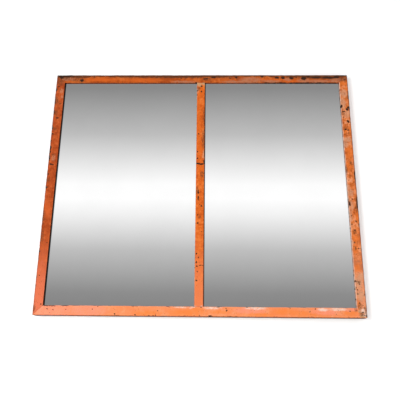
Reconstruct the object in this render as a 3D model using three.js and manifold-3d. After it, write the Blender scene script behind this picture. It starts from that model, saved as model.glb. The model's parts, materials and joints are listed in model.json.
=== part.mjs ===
// A wall mirror built into an old two-light steel sash.
//
// Four mitred rolled-steel angles make the outer frame, and a rolled-steel tee divides it into two
// lights. Each light holds, from front to back: a strip of glazing tape behind the flange, a sheet of
// 4 mm mirror glass on two setting blocks, a hardboard back, and four pine battens that clamp the
// stack and are screwed to the steel. Two strap hangers with a swinging D-ring carry the mirror on
// the wall, and two rubber bumpers hold its foot off the plaster.
//
// Frame: X to the right as seen from the front, Y towards the wall, Z up. The origin is in the middle
// of the bottom edge, half way between the front face and the wall.

import * as THREE from 'three';
import { mergeVertices } from 'three/addons/utils/BufferGeometryUtils.js';
import Module from 'manifold-3d';

const wasm = await Module();
wasm.setup();

// ---------------------------------------------------------------- driving dimensions, in millimetres

const FRAME_WIDTH = 980; // over the legs of the two stiles
const FRAME_HEIGHT = 796; // over the legs of the two rails

// Rolled-steel sections. The angle's flange faces the room and its leg runs back along the outside.
const STEEL_THICKNESS = 3;
const ANGLE_FACE = 30;
const ANGLE_LEG = 30;
const ANGLE_ROOT_RADIUS = 5;
const ANGLE_TOE_RADIUS = 1.5;
const ANGLE_HEEL_RADIUS = 0.9;
const CORNER_RADIUS = 3; // of the frame's four corners, seen from the front
const TEE_FACE = 28;
const TEE_DEPTH = 30;
const TEE_ROOT_RADIUS = 4;
const TEE_TOE_RADIUS = 1.2;
const TEE_ARRIS_RADIUS = 0.7;

// Running gap between neighbouring pieces, and the weld gap at the mitres and the tee's ends.
const FIT = 0.3;
const WELD_GAP = 0.3;

// The glazing stack, front to back.
const TAPE_THICKNESS = 1;
const TAPE_WIDTH = 6;
const TAPE_INSET = 1; // from where the toe radius of the flange ends
const GLASS_THICKNESS = 4;
const GLASS_ARRIS = 0.6;
const PANE_EDGE_GAP = 3; // between the glass edge and the steel
const BLOCK_LENGTH = 60;
const BLOCK_PLACE = 0.25; // share of the pane's width, from each end
const BOARD_THICKNESS = 3;
const BATTEN_WIDTH = 20;
const BATTEN_DEPTH = 14;
const BATTEN_EASING = 1.2;

// Countersunk screws that hold the battens to the steel.
const SCREW_RADIUS = 2;
const SCREW_HEAD_RADIUS = 4;
const SCREW_HEAD_EDGE = 0.4;
const SCREW_POINT = 3;
const SCREW_COVER = 6; // wood left beyond the point
const SCREW_SLOT_WIDTH = 1;
const SCREW_SLOT_DEPTH = 1.1;
const RAIL_SCREW_MARGIN = 95; // from the end of a batten to its first screw
const STILE_SCREW_MARGIN = 60;
const RAIL_SCREWS = 2; // in each light
const STILE_SCREWS = 3;

// Strap hangers. The strap's top end is rolled round the straight bar of the D-ring.
const HANGER_DROP = 190; // from the top of the frame to the ring's pivot
const STRAP_WIDTH = 12;
const STRAP_THICKNESS = 1;
const STRAP_LENGTH = 41; // below the pivot
const STRAP_CURL_DEG = 300; // how far the rolled end goes round the bar
const WIRE_RADIUS = 1.3;
const WIRE_CLEARANCE = 0.3;
const RING_INNER_WIDTH = 14;
const RING_INNER_DROP = 12; // from the bar to the inside of the bow
const RING_CORNER_RADIUS = 3;
const HANGER_HOLE_FIRST = 21; // below the pivot
const HANGER_HOLE_END = 7.5; // from the foot of the strap
const HANGER_SCREW_RADIUS = 1.6;
const HANGER_SCREW_LENGTH = 9;
const HANGER_HEAD_RADIUS = 3.3;
const HANGER_HEAD_HEIGHT = 1.9;
const HANGER_SLOT_WIDTH = 0.9;
const HANGER_SLOT_DEPTH = 0.9;

// Rubber wall bumpers on the bottom battens.
const BUMPER_RADIUS = 6.5;
const BUMPER_DRAFT = 0.8; // how much smaller its face is than its foot
const BUMPER_EDGE_RADIUS = 1.2;
const BUMPER_INSET = 42; // from the outside of the frame
const WALL_STANDOFF = 3; // how far the wall is from the deepest part of the frame

// Facets of the round forms.
const ARC_STEPS = 4;
const SCREW_SIDES = 16;
const WIRE_SIDES = 10;
const RING_STEPS = 44;
const BUMPER_SIDES = 24;

// ---------------------------------------------------------------- worked-out places

const TAPE_FRONT = FIT; // depths below are measured from the back of the flange
const GLASS_FRONT = TAPE_FRONT + TAPE_THICKNESS + FIT;
const BOARD_FRONT = GLASS_FRONT + GLASS_THICKNESS + FIT;
const BATTEN_FRONT = BOARD_FRONT + BOARD_THICKNESS + FIT;
const BATTEN_BACK = BATTEN_FRONT + BATTEN_DEPTH;
const SCREW_DEPTH = BATTEN_FRONT + BATTEN_DEPTH / 2;

const DEEPEST = Math.max(ANGLE_LEG, TEE_DEPTH, STEEL_THICKNESS + BATTEN_BACK);
const OVERALL_DEPTH = DEEPEST + WALL_STANDOFF;
const FRONT_Y = -OVERALL_DEPTH / 2;
const FLANGE_BACK_Y = FRONT_Y + STEEL_THICKNESS;
const WALL_Y = FRONT_Y + OVERALL_DEPTH;

// A light is the space between the legs of the angles and the stem of the tee.
const LIGHT_WIDTH = FRAME_WIDTH / 2 - STEEL_THICKNESS - STEEL_THICKNESS / 2;
const LIGHT_HEIGHT = FRAME_HEIGHT - 2 * STEEL_THICKNESS;
const LIGHT_CENTRE_X = STEEL_THICKNESS / 2 + LIGHT_WIDTH / 2;
const PANE_WIDTH = LIGHT_WIDTH - 2 * PANE_EDGE_GAP;
const PANE_HEIGHT = LIGHT_HEIGHT - 2 * PANE_EDGE_GAP;
const RAIL_BATTEN_LENGTH = LIGHT_WIDTH - 2 * FIT;
const STILE_BATTEN_LENGTH = LIGHT_HEIGHT - 2 * (FIT + BATTEN_WIDTH + FIT);

const PIVOT_Z = FRAME_HEIGHT - HANGER_DROP;
const LOOP_INNER_RADIUS = WIRE_RADIUS + WIRE_CLEARANCE;
const LOOP_OUTER_RADIUS = LOOP_INNER_RADIUS + STRAP_THICKNESS;
const STRAP_FOOT_Y = FLANGE_BACK_Y + BATTEN_BACK + FIT;
const BUMPER_FOOT_Y = STRAP_FOOT_Y;
const PIVOT_Y = STRAP_FOOT_Y + LOOP_OUTER_RADIUS;
const HANGER_X = FRAME_WIDTH / 2 - STEEL_THICKNESS - FIT - BATTEN_WIDTH / 2;

// ---------------------------------------------------------------- materials

function material(color, roughness, metalness = 0) {
  return new THREE.MeshStandardMaterial({ color, roughness, metalness });
}

const orangePaint = material(0xcf5f2a, 0.5, 0.1);
const mirrorGlass = material(0xe4e8e8, 0.03, 1);
const blackTape = material(0x1c1c1c, 0.85);
const blockRubber = material(0x2a2a2c, 0.8);
const hardboard = material(0x6b4a30, 0.8);
const pine = material(0xc9a26b, 0.7);
const zincSteel = material(0xb4b4ad, 0.4, 1);
const bumperRubber = material(0x2e2e2e, 0.75);

// ---------------------------------------------------------------- solids

// A closed three.js geometry as a solid that can be cut.
function solidOf(geometry) {
  const bare = geometry.clone();
  bare.deleteAttribute('normal');
  bare.deleteAttribute('uv');
  const merged = mergeVertices(bare, 1e-4);
  return new wasm.Manifold(new wasm.Mesh({
    numProp: 3,
    vertProperties: new Float32Array(merged.attributes.position.array),
    triVerts: new Uint32Array(merged.index.array),
  }));
}

function geometryOf(solid) {
  const { numProp, numVert, vertProperties, triVerts } = solid.getMesh();
  const places = new Float32Array(numVert * 3);
  for (let i = 0; i < numVert; i++) {
    places.set(vertProperties.subarray(i * numProp, i * numProp + 3), i * 3);
  }
  const geometry = new THREE.BufferGeometry();
  geometry.setAttribute('position', new THREE.BufferAttribute(places, 3));
  geometry.setIndex(new THREE.BufferAttribute(new Uint32Array(triVerts), 1));
  geometry.computeVertexNormals();
  return geometry;
}

// The geometry with every cutter taken out of it.
function cut(geometry, cutters) {
  let solid = solidOf(geometry);
  for (const cutter of cutters) solid = solid.subtract(solidOf(cutter));
  return geometryOf(solid);
}

function piece(name, geometry, finish) {
  const mesh = new THREE.Mesh(geometry, finish);
  mesh.name = name;
  return mesh;
}

function at(object, x, y, z) {
  object.position.set(x, y, z);
  return object;
}

// A profile drawn in (depth, inward) and run along X, with its middle at x = 0. Depth becomes Y and
// inward becomes Z.
function runAlongX(profile, length) {
  const geometry = new THREE.ExtrudeGeometry(profile, {
    depth: length,
    bevelEnabled: false,
    curveSegments: ARC_STEPS,
  });
  geometry.translate(0, 0, -length / 2);
  const turn = new THREE.Matrix4().set(
    0, 0, 1, 0,
    1, 0, 0, 0,
    0, 1, 0, 0,
    0, 0, 0, 1,
  );
  return geometry.applyMatrix4(turn);
}

// Moves both ends of a bar that runs along X, each point by its own cut-back.
function trimEnds(geometry, cutBack) {
  const places = geometry.attributes.position;
  for (let i = 0; i < places.count; i++) {
    const x = places.getX(i);
    const shift = cutBack(places.getY(i), places.getZ(i));
    places.setX(i, x - Math.sign(x) * shift);
  }
  return geometry;
}

// A round-cornered rectangle in (depth, inward).
function easedRectangle(depth0, depth1, inward0, inward1, radius) {
  const shape = new THREE.Shape();
  shape.moveTo(depth0 + radius, inward0);
  shape.lineTo(depth1 - radius, inward0);
  shape.absarc(depth1 - radius, inward0 + radius, radius, -Math.PI / 2, 0);
  shape.lineTo(depth1, inward1 - radius);
  shape.absarc(depth1 - radius, inward1 - radius, radius, 0, Math.PI / 2);
  shape.lineTo(depth0 + radius, inward1);
  shape.absarc(depth0 + radius, inward1 - radius, radius, Math.PI / 2, Math.PI);
  shape.lineTo(depth0, inward0 + radius);
  shape.absarc(depth0 + radius, inward0 + radius, radius, Math.PI, 1.5 * Math.PI);
  return shape;
}

// How far along one inner face of a section its root fillet reaches, at this distance off the other.
function filletReach(offset, radius) {
  if (offset >= radius) return 0;
  return radius - Math.sqrt(radius ** 2 - (radius - offset) ** 2);
}

// Evenly spread places along a length, the outer ones a margin in from its ends.
function spread(count, length, margin) {
  if (count === 1) return [0];
  const span = length - 2 * margin;
  return Array.from({ length: count }, (_, i) => -span / 2 + (span * i) / (count - 1));
}

// ---------------------------------------------------------------- screws

// A countersunk slotted screw along -Z, with the flat of its head at z = 0.
function countersunkScrew(length) {
  const cone = SCREW_HEAD_RADIUS - SCREW_RADIUS;
  const profile = [
    new THREE.Vector2(0, -length),
    new THREE.Vector2(SCREW_RADIUS, -length + SCREW_POINT),
    new THREE.Vector2(SCREW_RADIUS, -SCREW_HEAD_EDGE - cone),
    new THREE.Vector2(SCREW_HEAD_RADIUS, -SCREW_HEAD_EDGE),
    new THREE.Vector2(SCREW_HEAD_RADIUS, 0),
    new THREE.Vector2(0, 0),
  ];
  const body = new THREE.LatheGeometry(profile, SCREW_SIDES).rotateX(Math.PI / 2);
  const slot = new THREE.BoxGeometry(
    3 * SCREW_HEAD_RADIUS, SCREW_SLOT_WIDTH, 2 * SCREW_SLOT_DEPTH);
  return cut(body, [slot]);
}

// The room that such a screw needs, reaching out past its head and down past its point.
function countersinkCutter(length, headroom) {
  const wide = SCREW_HEAD_RADIUS + FIT;
  const narrow = SCREW_RADIUS + FIT;
  const profile = [
    new THREE.Vector2(0, -length - FIT),
    new THREE.Vector2(narrow, -length - FIT),
    new THREE.Vector2(narrow, -SCREW_HEAD_EDGE - FIT - (wide - narrow)),
    new THREE.Vector2(wide, -SCREW_HEAD_EDGE - FIT),
    new THREE.Vector2(wide, headroom),
    new THREE.Vector2(0, headroom),
  ];
  return new THREE.LatheGeometry(profile, SCREW_SIDES).rotateX(Math.PI / 2);
}

// A domed slotted screw along -Z, with the underside of its head at z = 0.
function domedScrew() {
  const dome = [];
  for (let i = 0; i <= ARC_STEPS; i++) {
    const angle = (i / ARC_STEPS) * (Math.PI / 2);
    dome.push(new THREE.Vector2(
      HANGER_HEAD_RADIUS * Math.cos(angle), HANGER_HEAD_HEIGHT * Math.sin(angle)));
  }
  dome[ARC_STEPS].x = 0;
  const profile = [
    new THREE.Vector2(0, -HANGER_SCREW_LENGTH),
    new THREE.Vector2(HANGER_SCREW_RADIUS, -HANGER_SCREW_LENGTH + 2 * HANGER_SCREW_RADIUS),
    new THREE.Vector2(HANGER_SCREW_RADIUS, 0),
    ...dome,
  ];
  const body = new THREE.LatheGeometry(profile, SCREW_SIDES).rotateX(Math.PI / 2);
  const slot = new THREE.BoxGeometry(
    3 * HANGER_HEAD_RADIUS, HANGER_SLOT_WIDTH, 2 * HANGER_SLOT_DEPTH);
  slot.translate(0, 0, HANGER_HEAD_HEIGHT);
  return cut(body, [slot]);
}

// ---------------------------------------------------------------- steel frame

// Rolled angle in (depth, inward): flange along the front, leg along the outside, heel at the origin.
function angleProfile() {
  const t = STEEL_THICKNESS;
  const root = ANGLE_ROOT_RADIUS;
  const toe = ANGLE_TOE_RADIUS;
  const shape = new THREE.Shape();
  shape.moveTo(ANGLE_HEEL_RADIUS, 0);
  shape.lineTo(ANGLE_LEG, 0);
  shape.lineTo(ANGLE_LEG, t - toe);
  shape.absarc(ANGLE_LEG - toe, t - toe, toe, 0, Math.PI / 2);
  shape.lineTo(t + root, t);
  shape.absarc(t + root, t + root, root, -Math.PI / 2, -Math.PI, true);
  shape.lineTo(t, ANGLE_FACE - toe);
  shape.absarc(t - toe, ANGLE_FACE - toe, toe, 0, Math.PI / 2);
  shape.lineTo(0, ANGLE_FACE);
  shape.lineTo(0, ANGLE_HEEL_RADIUS);
  shape.absarc(ANGLE_HEEL_RADIUS, ANGLE_HEEL_RADIUS, ANGLE_HEEL_RADIUS, Math.PI, 1.5 * Math.PI);
  return shape;
}

// Rolled tee in (depth, across): flange along the front, stem back from its middle.
function teeProfile() {
  const t = STEEL_THICKNESS;
  const half = TEE_FACE / 2;
  const stem = t / 2;
  const root = TEE_ROOT_RADIUS;
  const toe = TEE_TOE_RADIUS;
  const arris = TEE_ARRIS_RADIUS;
  const shape = new THREE.Shape();
  shape.moveTo(0, -half + arris);
  shape.absarc(arris, -half + arris, arris, Math.PI, 1.5 * Math.PI);
  shape.absarc(t - toe, -half + toe, toe, -Math.PI / 2, 0);
  shape.lineTo(t, -stem - root);
  shape.absarc(t + root, -stem - root, root, Math.PI, Math.PI / 2, true);
  shape.lineTo(TEE_DEPTH - arris, -stem);
  shape.absarc(TEE_DEPTH - arris, -stem + arris, arris, -Math.PI / 2, 0);
  shape.absarc(TEE_DEPTH - arris, stem - arris, arris, 0, Math.PI / 2);
  shape.lineTo(t + root, stem);
  shape.absarc(t + root, stem + root, root, -Math.PI / 2, -Math.PI, true);
  shape.lineTo(t, half - toe);
  shape.absarc(t - toe, half - toe, toe, 0, Math.PI / 2);
  shape.absarc(arris, half - arris, arris, Math.PI / 2, Math.PI);
  return shape;
}

// What the rounding takes off the outer corner at each end of a bar of this length.
function cornerCutters(length) {
  const r = CORNER_RADIUS;
  const end = length / 2;
  const shape = new THREE.Shape();
  shape.moveTo(end - r, 0);
  shape.absarc(end - r, r, r, -Math.PI / 2, 0);
  shape.lineTo(end + r, r);
  shape.lineTo(end + r, -r);
  shape.lineTo(end - r, -r);
  shape.closePath();
  return [0, Math.PI].map((turn) => new THREE.ExtrudeGeometry(shape, {
    depth: 4 * ANGLE_LEG,
    bevelEnabled: false,
    curveSegments: 2 * ARC_STEPS,
  }).rotateX(Math.PI / 2).translate(0, 2 * ANGLE_LEG, 0).rotateZ(turn));
}

// One side of the frame, along X: outer face at z = 0, front at y = 0, mitred at both ends.
function mitredAngle(length, screwPlaces) {
  const bar = trimEnds(
    runAlongX(angleProfile(), length),
    (depth, inward) => inward + WELD_GAP / Math.SQRT2,
  );
  const holes = screwPlaces.map((x) => countersinkCutter(
    2 * STEEL_THICKNESS, STEEL_THICKNESS)
    .rotateX(Math.PI)
    .translate(x, STEEL_THICKNESS + SCREW_DEPTH, 0));
  return cut(bar, [...cornerCutters(length), ...holes]);
}

// The tee, along X: its flange stops at the rails' flanges, and its stem runs on behind them as far as
// their legs, with its corner nipped off to clear their root fillets.
function glazingBar(screwPlaces) {
  const flangeEnd = ANGLE_FACE + WELD_GAP;
  const stemEnd = STEEL_THICKNESS + WELD_GAP;
  const nip = ANGLE_ROOT_RADIUS - filletReach(WELD_GAP, ANGLE_ROOT_RADIUS) / 2;
  const bar = trimEnds(
    runAlongX(teeProfile(), FRAME_HEIGHT),
    () => stemEnd,
  );
  const flangeCutters = [-1, 1].map((side) => {
    const cope = new THREE.BoxGeometry(
      2 * (flangeEnd - stemEnd), 2 * (STEEL_THICKNESS + WELD_GAP), 2 * TEE_FACE);
    return cope.translate(side * (FRAME_HEIGHT / 2 - stemEnd), 0, 0);
  });
  // The tee's own root fillets are cut back with the flange, so that the stem passes as a flat bar.
  const filletCutters = [-1, 1].flatMap((side) => [-1, 1].map((face) => {
    const length = flangeEnd - stemEnd;
    const width = TEE_FACE / 2;
    const cope = new THREE.BoxGeometry(2 * length, 4 * (STEEL_THICKNESS + TEE_ROOT_RADIUS), width);
    return cope.translate(
      side * (FRAME_HEIGHT / 2 - stemEnd), 0, face * (STEEL_THICKNESS / 2 + width / 2));
  }));
  const nipCutters = [-1, 1].map((side) => {
    const corner = new THREE.BoxGeometry(2 * nip, 2 * nip, 2 * TEE_FACE).rotateZ(Math.PI / 4);
    return corner.translate(side * (FRAME_HEIGHT / 2 - STEEL_THICKNESS), STEEL_THICKNESS, 0);
  });
  const holes = screwPlaces.map((x) => new THREE.CylinderGeometry(
    SCREW_RADIUS + FIT, SCREW_RADIUS + FIT, 2 * STEEL_THICKNESS, SCREW_SIDES)
    .rotateX(Math.PI / 2)
    .translate(x, STEEL_THICKNESS + SCREW_DEPTH, 0));
  return cut(bar, [...flangeCutters, ...filletCutters, ...nipCutters, ...holes]);
}

// ---------------------------------------------------------------- glazing

// Mirror glass with ground arrisses, standing in the XZ plane with its front at y = 0.
function mirrorPane() {
  const shape = new THREE.Shape();
  const x = PANE_WIDTH / 2 - GLASS_ARRIS;
  const z = PANE_HEIGHT / 2 - GLASS_ARRIS;
  shape.moveTo(-x, -z);
  shape.lineTo(x, -z);
  shape.lineTo(x, z);
  shape.lineTo(-x, z);
  shape.closePath();
  const geometry = new THREE.ExtrudeGeometry(shape, {
    depth: GLASS_THICKNESS - 2 * GLASS_ARRIS,
    bevelThickness: GLASS_ARRIS,
    bevelSize: GLASS_ARRIS,
    bevelSegments: 1,
  });
  return geometry.rotateX(Math.PI / 2).translate(0, GLASS_THICKNESS - GLASS_ARRIS, 0);
}

function rectanglePath(path, halfWidth, halfHeight, centreX = 0) {
  path.moveTo(centreX - halfWidth, -halfHeight);
  path.lineTo(centreX + halfWidth, -halfHeight);
  path.lineTo(centreX + halfWidth, halfHeight);
  path.lineTo(centreX - halfWidth, halfHeight);
  path.closePath();
  return path;
}

// The strip of tape round a light, under the flanges of the angles and of the tee. `side` is -1 for
// the left light and 1 for the right one.
function glazingTape(side) {
  const angleInset = ANGLE_FACE - STEEL_THICKNESS - ANGLE_TOE_RADIUS - TAPE_INSET;
  const teeInset = (TEE_FACE - STEEL_THICKNESS) / 2 - TEE_TOE_RADIUS - TAPE_INSET;
  const innerWidth = LIGHT_WIDTH - angleInset - teeInset;
  const innerHeight = LIGHT_HEIGHT - 2 * angleInset;
  const shift = (side * (teeInset - angleInset)) / 2;
  const shape = rectanglePath(
    new THREE.Shape(), innerWidth / 2 + TAPE_WIDTH, innerHeight / 2 + TAPE_WIDTH, shift);
  shape.holes.push(rectanglePath(new THREE.Path(), innerWidth / 2, innerHeight / 2, shift));
  const geometry = new THREE.ExtrudeGeometry(shape, { depth: TAPE_THICKNESS, bevelEnabled: false });
  return geometry.rotateX(Math.PI / 2).translate(0, TAPE_THICKNESS, 0);
}

// A rubber block along X that carries the glass and the board on the bottom leg. Its lower front edge
// is cut to clear the angle's root fillet.
function settingBlock() {
  const front = GLASS_FRONT;
  const back = BOARD_FRONT + BOARD_THICKNESS;
  const low = FIT;
  const high = PANE_EDGE_GAP - FIT;
  const clear = Math.max(filletReach(low, ANGLE_ROOT_RADIUS) + FIT, front);
  const rise = Math.max(filletReach(front, ANGLE_ROOT_RADIUS) + FIT, low);
  const shape = new THREE.Shape();
  shape.moveTo(clear, low);
  shape.lineTo(back, low);
  shape.lineTo(back, high);
  shape.lineTo(front, high);
  if (rise > low) shape.lineTo(front, rise);
  shape.closePath();
  return runAlongX(shape, BLOCK_LENGTH);
}

// ---------------------------------------------------------------- battens

const RAIL_SCREW_PLACES = spread(RAIL_SCREWS, RAIL_BATTEN_LENGTH, RAIL_SCREW_MARGIN);
const STILE_SCREW_PLACES = spread(STILE_SCREWS, STILE_BATTEN_LENGTH, STILE_SCREW_MARGIN);
const STEEL_SCREW_LENGTH = STEEL_THICKNESS + FIT + BATTEN_WIDTH - SCREW_COVER;
const BAR_SCREW_LENGTH = 2 * BATTEN_WIDTH + 2 * FIT + STEEL_THICKNESS - SCREW_COVER;
const HANGER_HOLE_DROPS = [HANGER_HOLE_FIRST, STRAP_LENGTH - HANGER_HOLE_END];

// A batten along X, against the steel at inward = 0. Its front is at y = 0.
function batten(length) {
  return runAlongX(easedRectangle(0, BATTEN_DEPTH, FIT, FIT + BATTEN_WIDTH, BATTEN_EASING), length);
}

// The pilot of a screw that comes in through the steel behind the batten.
function pilotFromSteel(x) {
  const depth = STEEL_SCREW_LENGTH - STEEL_THICKNESS + FIT;
  return new THREE.CylinderGeometry(
    SCREW_RADIUS + FIT, SCREW_RADIUS + FIT, 2 * depth, SCREW_SIDES)
    .rotateX(Math.PI / 2)
    .translate(x, BATTEN_DEPTH / 2, 0);
}

// The hole of a screw that goes through the batten towards the tee, with its head sunk in the wood.
function throughTowardsBar(x) {
  return countersinkCutter(2 * BATTEN_WIDTH, BATTEN_WIDTH)
    .translate(x, BATTEN_DEPTH / 2, FIT + BATTEN_WIDTH);
}

// The pilot of that screw's far end, in the batten on the other side of the tee.
function pilotBeyondBar(x) {
  const depth = BATTEN_WIDTH - SCREW_COVER + FIT;
  return new THREE.CylinderGeometry(
    SCREW_RADIUS + FIT, SCREW_RADIUS + FIT, 2 * (depth + FIT), SCREW_SIDES)
    .rotateX(Math.PI / 2)
    .translate(x, BATTEN_DEPTH / 2, 0);
}

// The pilot of a hanger screw, from the back of the batten. x runs along the batten.
function hangerPilot(x) {
  return new THREE.CylinderGeometry(
    HANGER_SCREW_RADIUS + FIT, HANGER_SCREW_RADIUS + FIT, 2 * HANGER_SCREW_LENGTH, SCREW_SIDES)
    .translate(x, BATTEN_DEPTH, FIT + BATTEN_WIDTH / 2);
}

// Where the four battens of a light lie about its centre. Each lies along X and is turned about Y.
const BATTEN_PLACES = [
  { edge: 'bottom', turn: 0, x: 0, z: -LIGHT_HEIGHT / 2, upright: false },
  { edge: 'top', turn: Math.PI, x: 0, z: LIGHT_HEIGHT / 2, upright: false },
  { edge: 'left', turn: Math.PI / 2, x: -LIGHT_WIDTH / 2, z: 0, upright: true },
  { edge: 'right', turn: -Math.PI / 2, x: LIGHT_WIDTH / 2, z: 0, upright: true },
];

// All the holes of one batten, in its own unturned frame. The batten on the outer side of its light
// also takes the hanger's screws, and the one on the inner side is screwed through the tee.
function battenHoles(lightName, edge, upright) {
  if (!upright) return RAIL_SCREW_PLACES.map(pilotFromSteel);
  if (edge !== lightName) {
    return STILE_SCREW_PLACES.map(lightName === 'left' ? throughTowardsBar : pilotBeyondBar);
  }
  const up = edge === 'left' ? -1 : 1; // which way the batten's local X runs once it is turned
  const drops = HANGER_HOLE_DROPS.map((drop) => PIVOT_Z - drop - FRAME_HEIGHT / 2);
  return [
    ...STILE_SCREW_PLACES.map(pilotFromSteel),
    ...drops.map((z) => hangerPilot(up * z)),
  ];
}

// ---------------------------------------------------------------- hangers

// The strap in the frame of its pivot: foot towards -Y, hanging down -Z, rolled end round the X axis.
function hangerStrap() {
  const curlEnd = Math.PI - THREE.MathUtils.degToRad(STRAP_CURL_DEG);
  const face = -LOOP_OUTER_RADIUS;
  const side = new THREE.Shape();
  side.moveTo(face, -STRAP_LENGTH);
  side.lineTo(face + STRAP_THICKNESS, -STRAP_LENGTH);
  side.lineTo(face + STRAP_THICKNESS, 0);
  side.absarc(0, 0, LOOP_INNER_RADIUS, Math.PI, curlEnd, true);
  side.absarc(0, 0, LOOP_OUTER_RADIUS, curlEnd, Math.PI, false);
  side.closePath();
  const strap = new THREE.ExtrudeGeometry(side, {
    depth: STRAP_WIDTH,
    bevelEnabled: false,
    curveSegments: 6 * ARC_STEPS,
  });
  strap.translate(0, 0, -STRAP_WIDTH / 2);
  strap.applyMatrix4(new THREE.Matrix4().set(
    0, 0, 1, 0,
    1, 0, 0, 0,
    0, 1, 0, 0,
    0, 0, 0, 1,
  ));

  // Seen from the back the strap is a tongue with a round foot and two screw holes.
  const tongue = new THREE.Shape();
  const half = STRAP_WIDTH / 2;
  tongue.moveTo(half, -STRAP_LENGTH + half);
  tongue.lineTo(half, 2 * LOOP_OUTER_RADIUS);
  tongue.lineTo(-half, 2 * LOOP_OUTER_RADIUS);
  tongue.lineTo(-half, -STRAP_LENGTH + half);
  tongue.absarc(0, -STRAP_LENGTH + half, half, Math.PI, 2 * Math.PI);
  for (const drop of HANGER_HOLE_DROPS) {
    const hole = new THREE.Path();
    hole.absarc(0, -drop, HANGER_SCREW_RADIUS + FIT, 0, 2 * Math.PI);
    tongue.holes.push(hole);
  }
  const outline = new THREE.ExtrudeGeometry(tongue, {
    depth: 4 * LOOP_OUTER_RADIUS,
    bevelEnabled: false,
    curveSegments: 2 * ARC_STEPS,
  });
  outline.rotateX(Math.PI / 2).translate(0, 2 * LOOP_OUTER_RADIUS, 0);
  return geometryOf(solidOf(strap).intersect(solidOf(outline)));
}

// A curve drawn in (x, z) and read as a curve in the XZ plane.
class UprightCurve extends THREE.Curve {
  constructor(path) {
    super();
    this.path = path;
  }

  getPoint(t, target = new THREE.Vector3()) {
    const point = this.path.getPoint(t % 1);
    return target.set(point.x, 0, point.y);
  }
}

// The D-ring, hanging from the X axis: a straight bar with round corners, and a half-round bow.
function dRing() {
  const half = RING_INNER_WIDTH / 2 + WIRE_RADIUS;
  const drop = RING_INNER_DROP + WIRE_RADIUS;
  const corner = RING_CORNER_RADIUS;
  const path = new THREE.Path();
  path.moveTo(0, 0);
  path.lineTo(half - corner, 0);
  path.absarc(half - corner, -corner, corner, Math.PI / 2, 0, true);
  path.absellipse(0, -corner, half, drop - corner, 0, -Math.PI, true);
  path.absarc(-half + corner, -corner, corner, Math.PI, Math.PI / 2, true);
  path.lineTo(0, 0);
  return new THREE.TubeGeometry(new UprightCurve(path), RING_STEPS, WIRE_RADIUS, WIRE_SIDES, true);
}

// ---------------------------------------------------------------- bumpers

// A drafted rubber button with a rounded rim, standing on y = 0 and reaching along +Y.
function bumper() {
  const height = WALL_Y - BUMPER_FOOT_Y;
  const rim = BUMPER_RADIUS - BUMPER_DRAFT;
  const edge = BUMPER_EDGE_RADIUS;
  const profile = [new THREE.Vector2(0, 0), new THREE.Vector2(BUMPER_RADIUS, 0)];
  for (let i = 0; i <= ARC_STEPS; i++) {
    const angle = (i / ARC_STEPS) * (Math.PI / 2);
    profile.push(new THREE.Vector2(
      rim - edge + edge * Math.cos(angle), height - edge + edge * Math.sin(angle)));
  }
  profile.push(new THREE.Vector2(0, height));
  return new THREE.LatheGeometry(profile, BUMPER_SIDES);
}

// ---------------------------------------------------------------- assembly

const mirror = new THREE.Group();

// Each side of the frame lies along X and is turned about Y into its place, so that its local +Z
// points into the frame. Its screws follow in the same turned frame.
const HALF_WIDTH = FRAME_WIDTH / 2;
const HALF_HEIGHT = FRAME_HEIGHT / 2;
const RAIL_HOLES = [-LIGHT_CENTRE_X, LIGHT_CENTRE_X].flatMap(
  (centre) => RAIL_SCREW_PLACES.map((x) => centre + x));
const RAIL = { length: FRAME_WIDTH, screws: RAIL_HOLES };
const STILE = { length: FRAME_HEIGHT, screws: STILE_SCREW_PLACES };
const SIDES = [
  { ...RAIL, name: 'bottom_rail', turn: 0, x: 0, z: 0 },
  { ...RAIL, name: 'top_rail', turn: Math.PI, x: 0, z: FRAME_HEIGHT },
  { ...STILE, name: 'left_stile', turn: Math.PI / 2, x: -HALF_WIDTH, z: HALF_HEIGHT },
  { ...STILE, name: 'right_stile', turn: -Math.PI / 2, x: HALF_WIDTH, z: HALF_HEIGHT },
];

for (const { name, turn, x, z, length, screws } of SIDES) {
  const group = at(new THREE.Group(), x, FRONT_Y, z);
  group.rotation.y = turn;
  group.add(piece(name, mitredAngle(length, screws), orangePaint));
  screws.forEach((place, i) => {
    const screw = piece(`${name}_screw_${i + 1}`, countersunkScrew(STEEL_SCREW_LENGTH), zincSteel);
    screw.rotation.x = Math.PI;
    group.add(at(screw, place, STEEL_THICKNESS + SCREW_DEPTH, 0));
  });
  mirror.add(group);
}

// The glazing bar stands up, with its length along Z.
const bar = piece('centre_glazing_bar', glazingBar(STILE_SCREW_PLACES), orangePaint);
bar.rotation.y = -Math.PI / 2;
mirror.add(at(bar, 0, FRONT_Y, HALF_HEIGHT));

STILE_SCREW_PLACES.forEach((z, i) => {
  const screw = piece(`glazing_bar_screw_${i + 1}`, countersunkScrew(BAR_SCREW_LENGTH), zincSteel);
  screw.rotation.y = -Math.PI / 2;
  const headX = -(STEEL_THICKNESS / 2 + FIT + BATTEN_WIDTH);
  mirror.add(at(screw, headX, FLANGE_BACK_Y + SCREW_DEPTH, HALF_HEIGHT + z));
});

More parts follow.
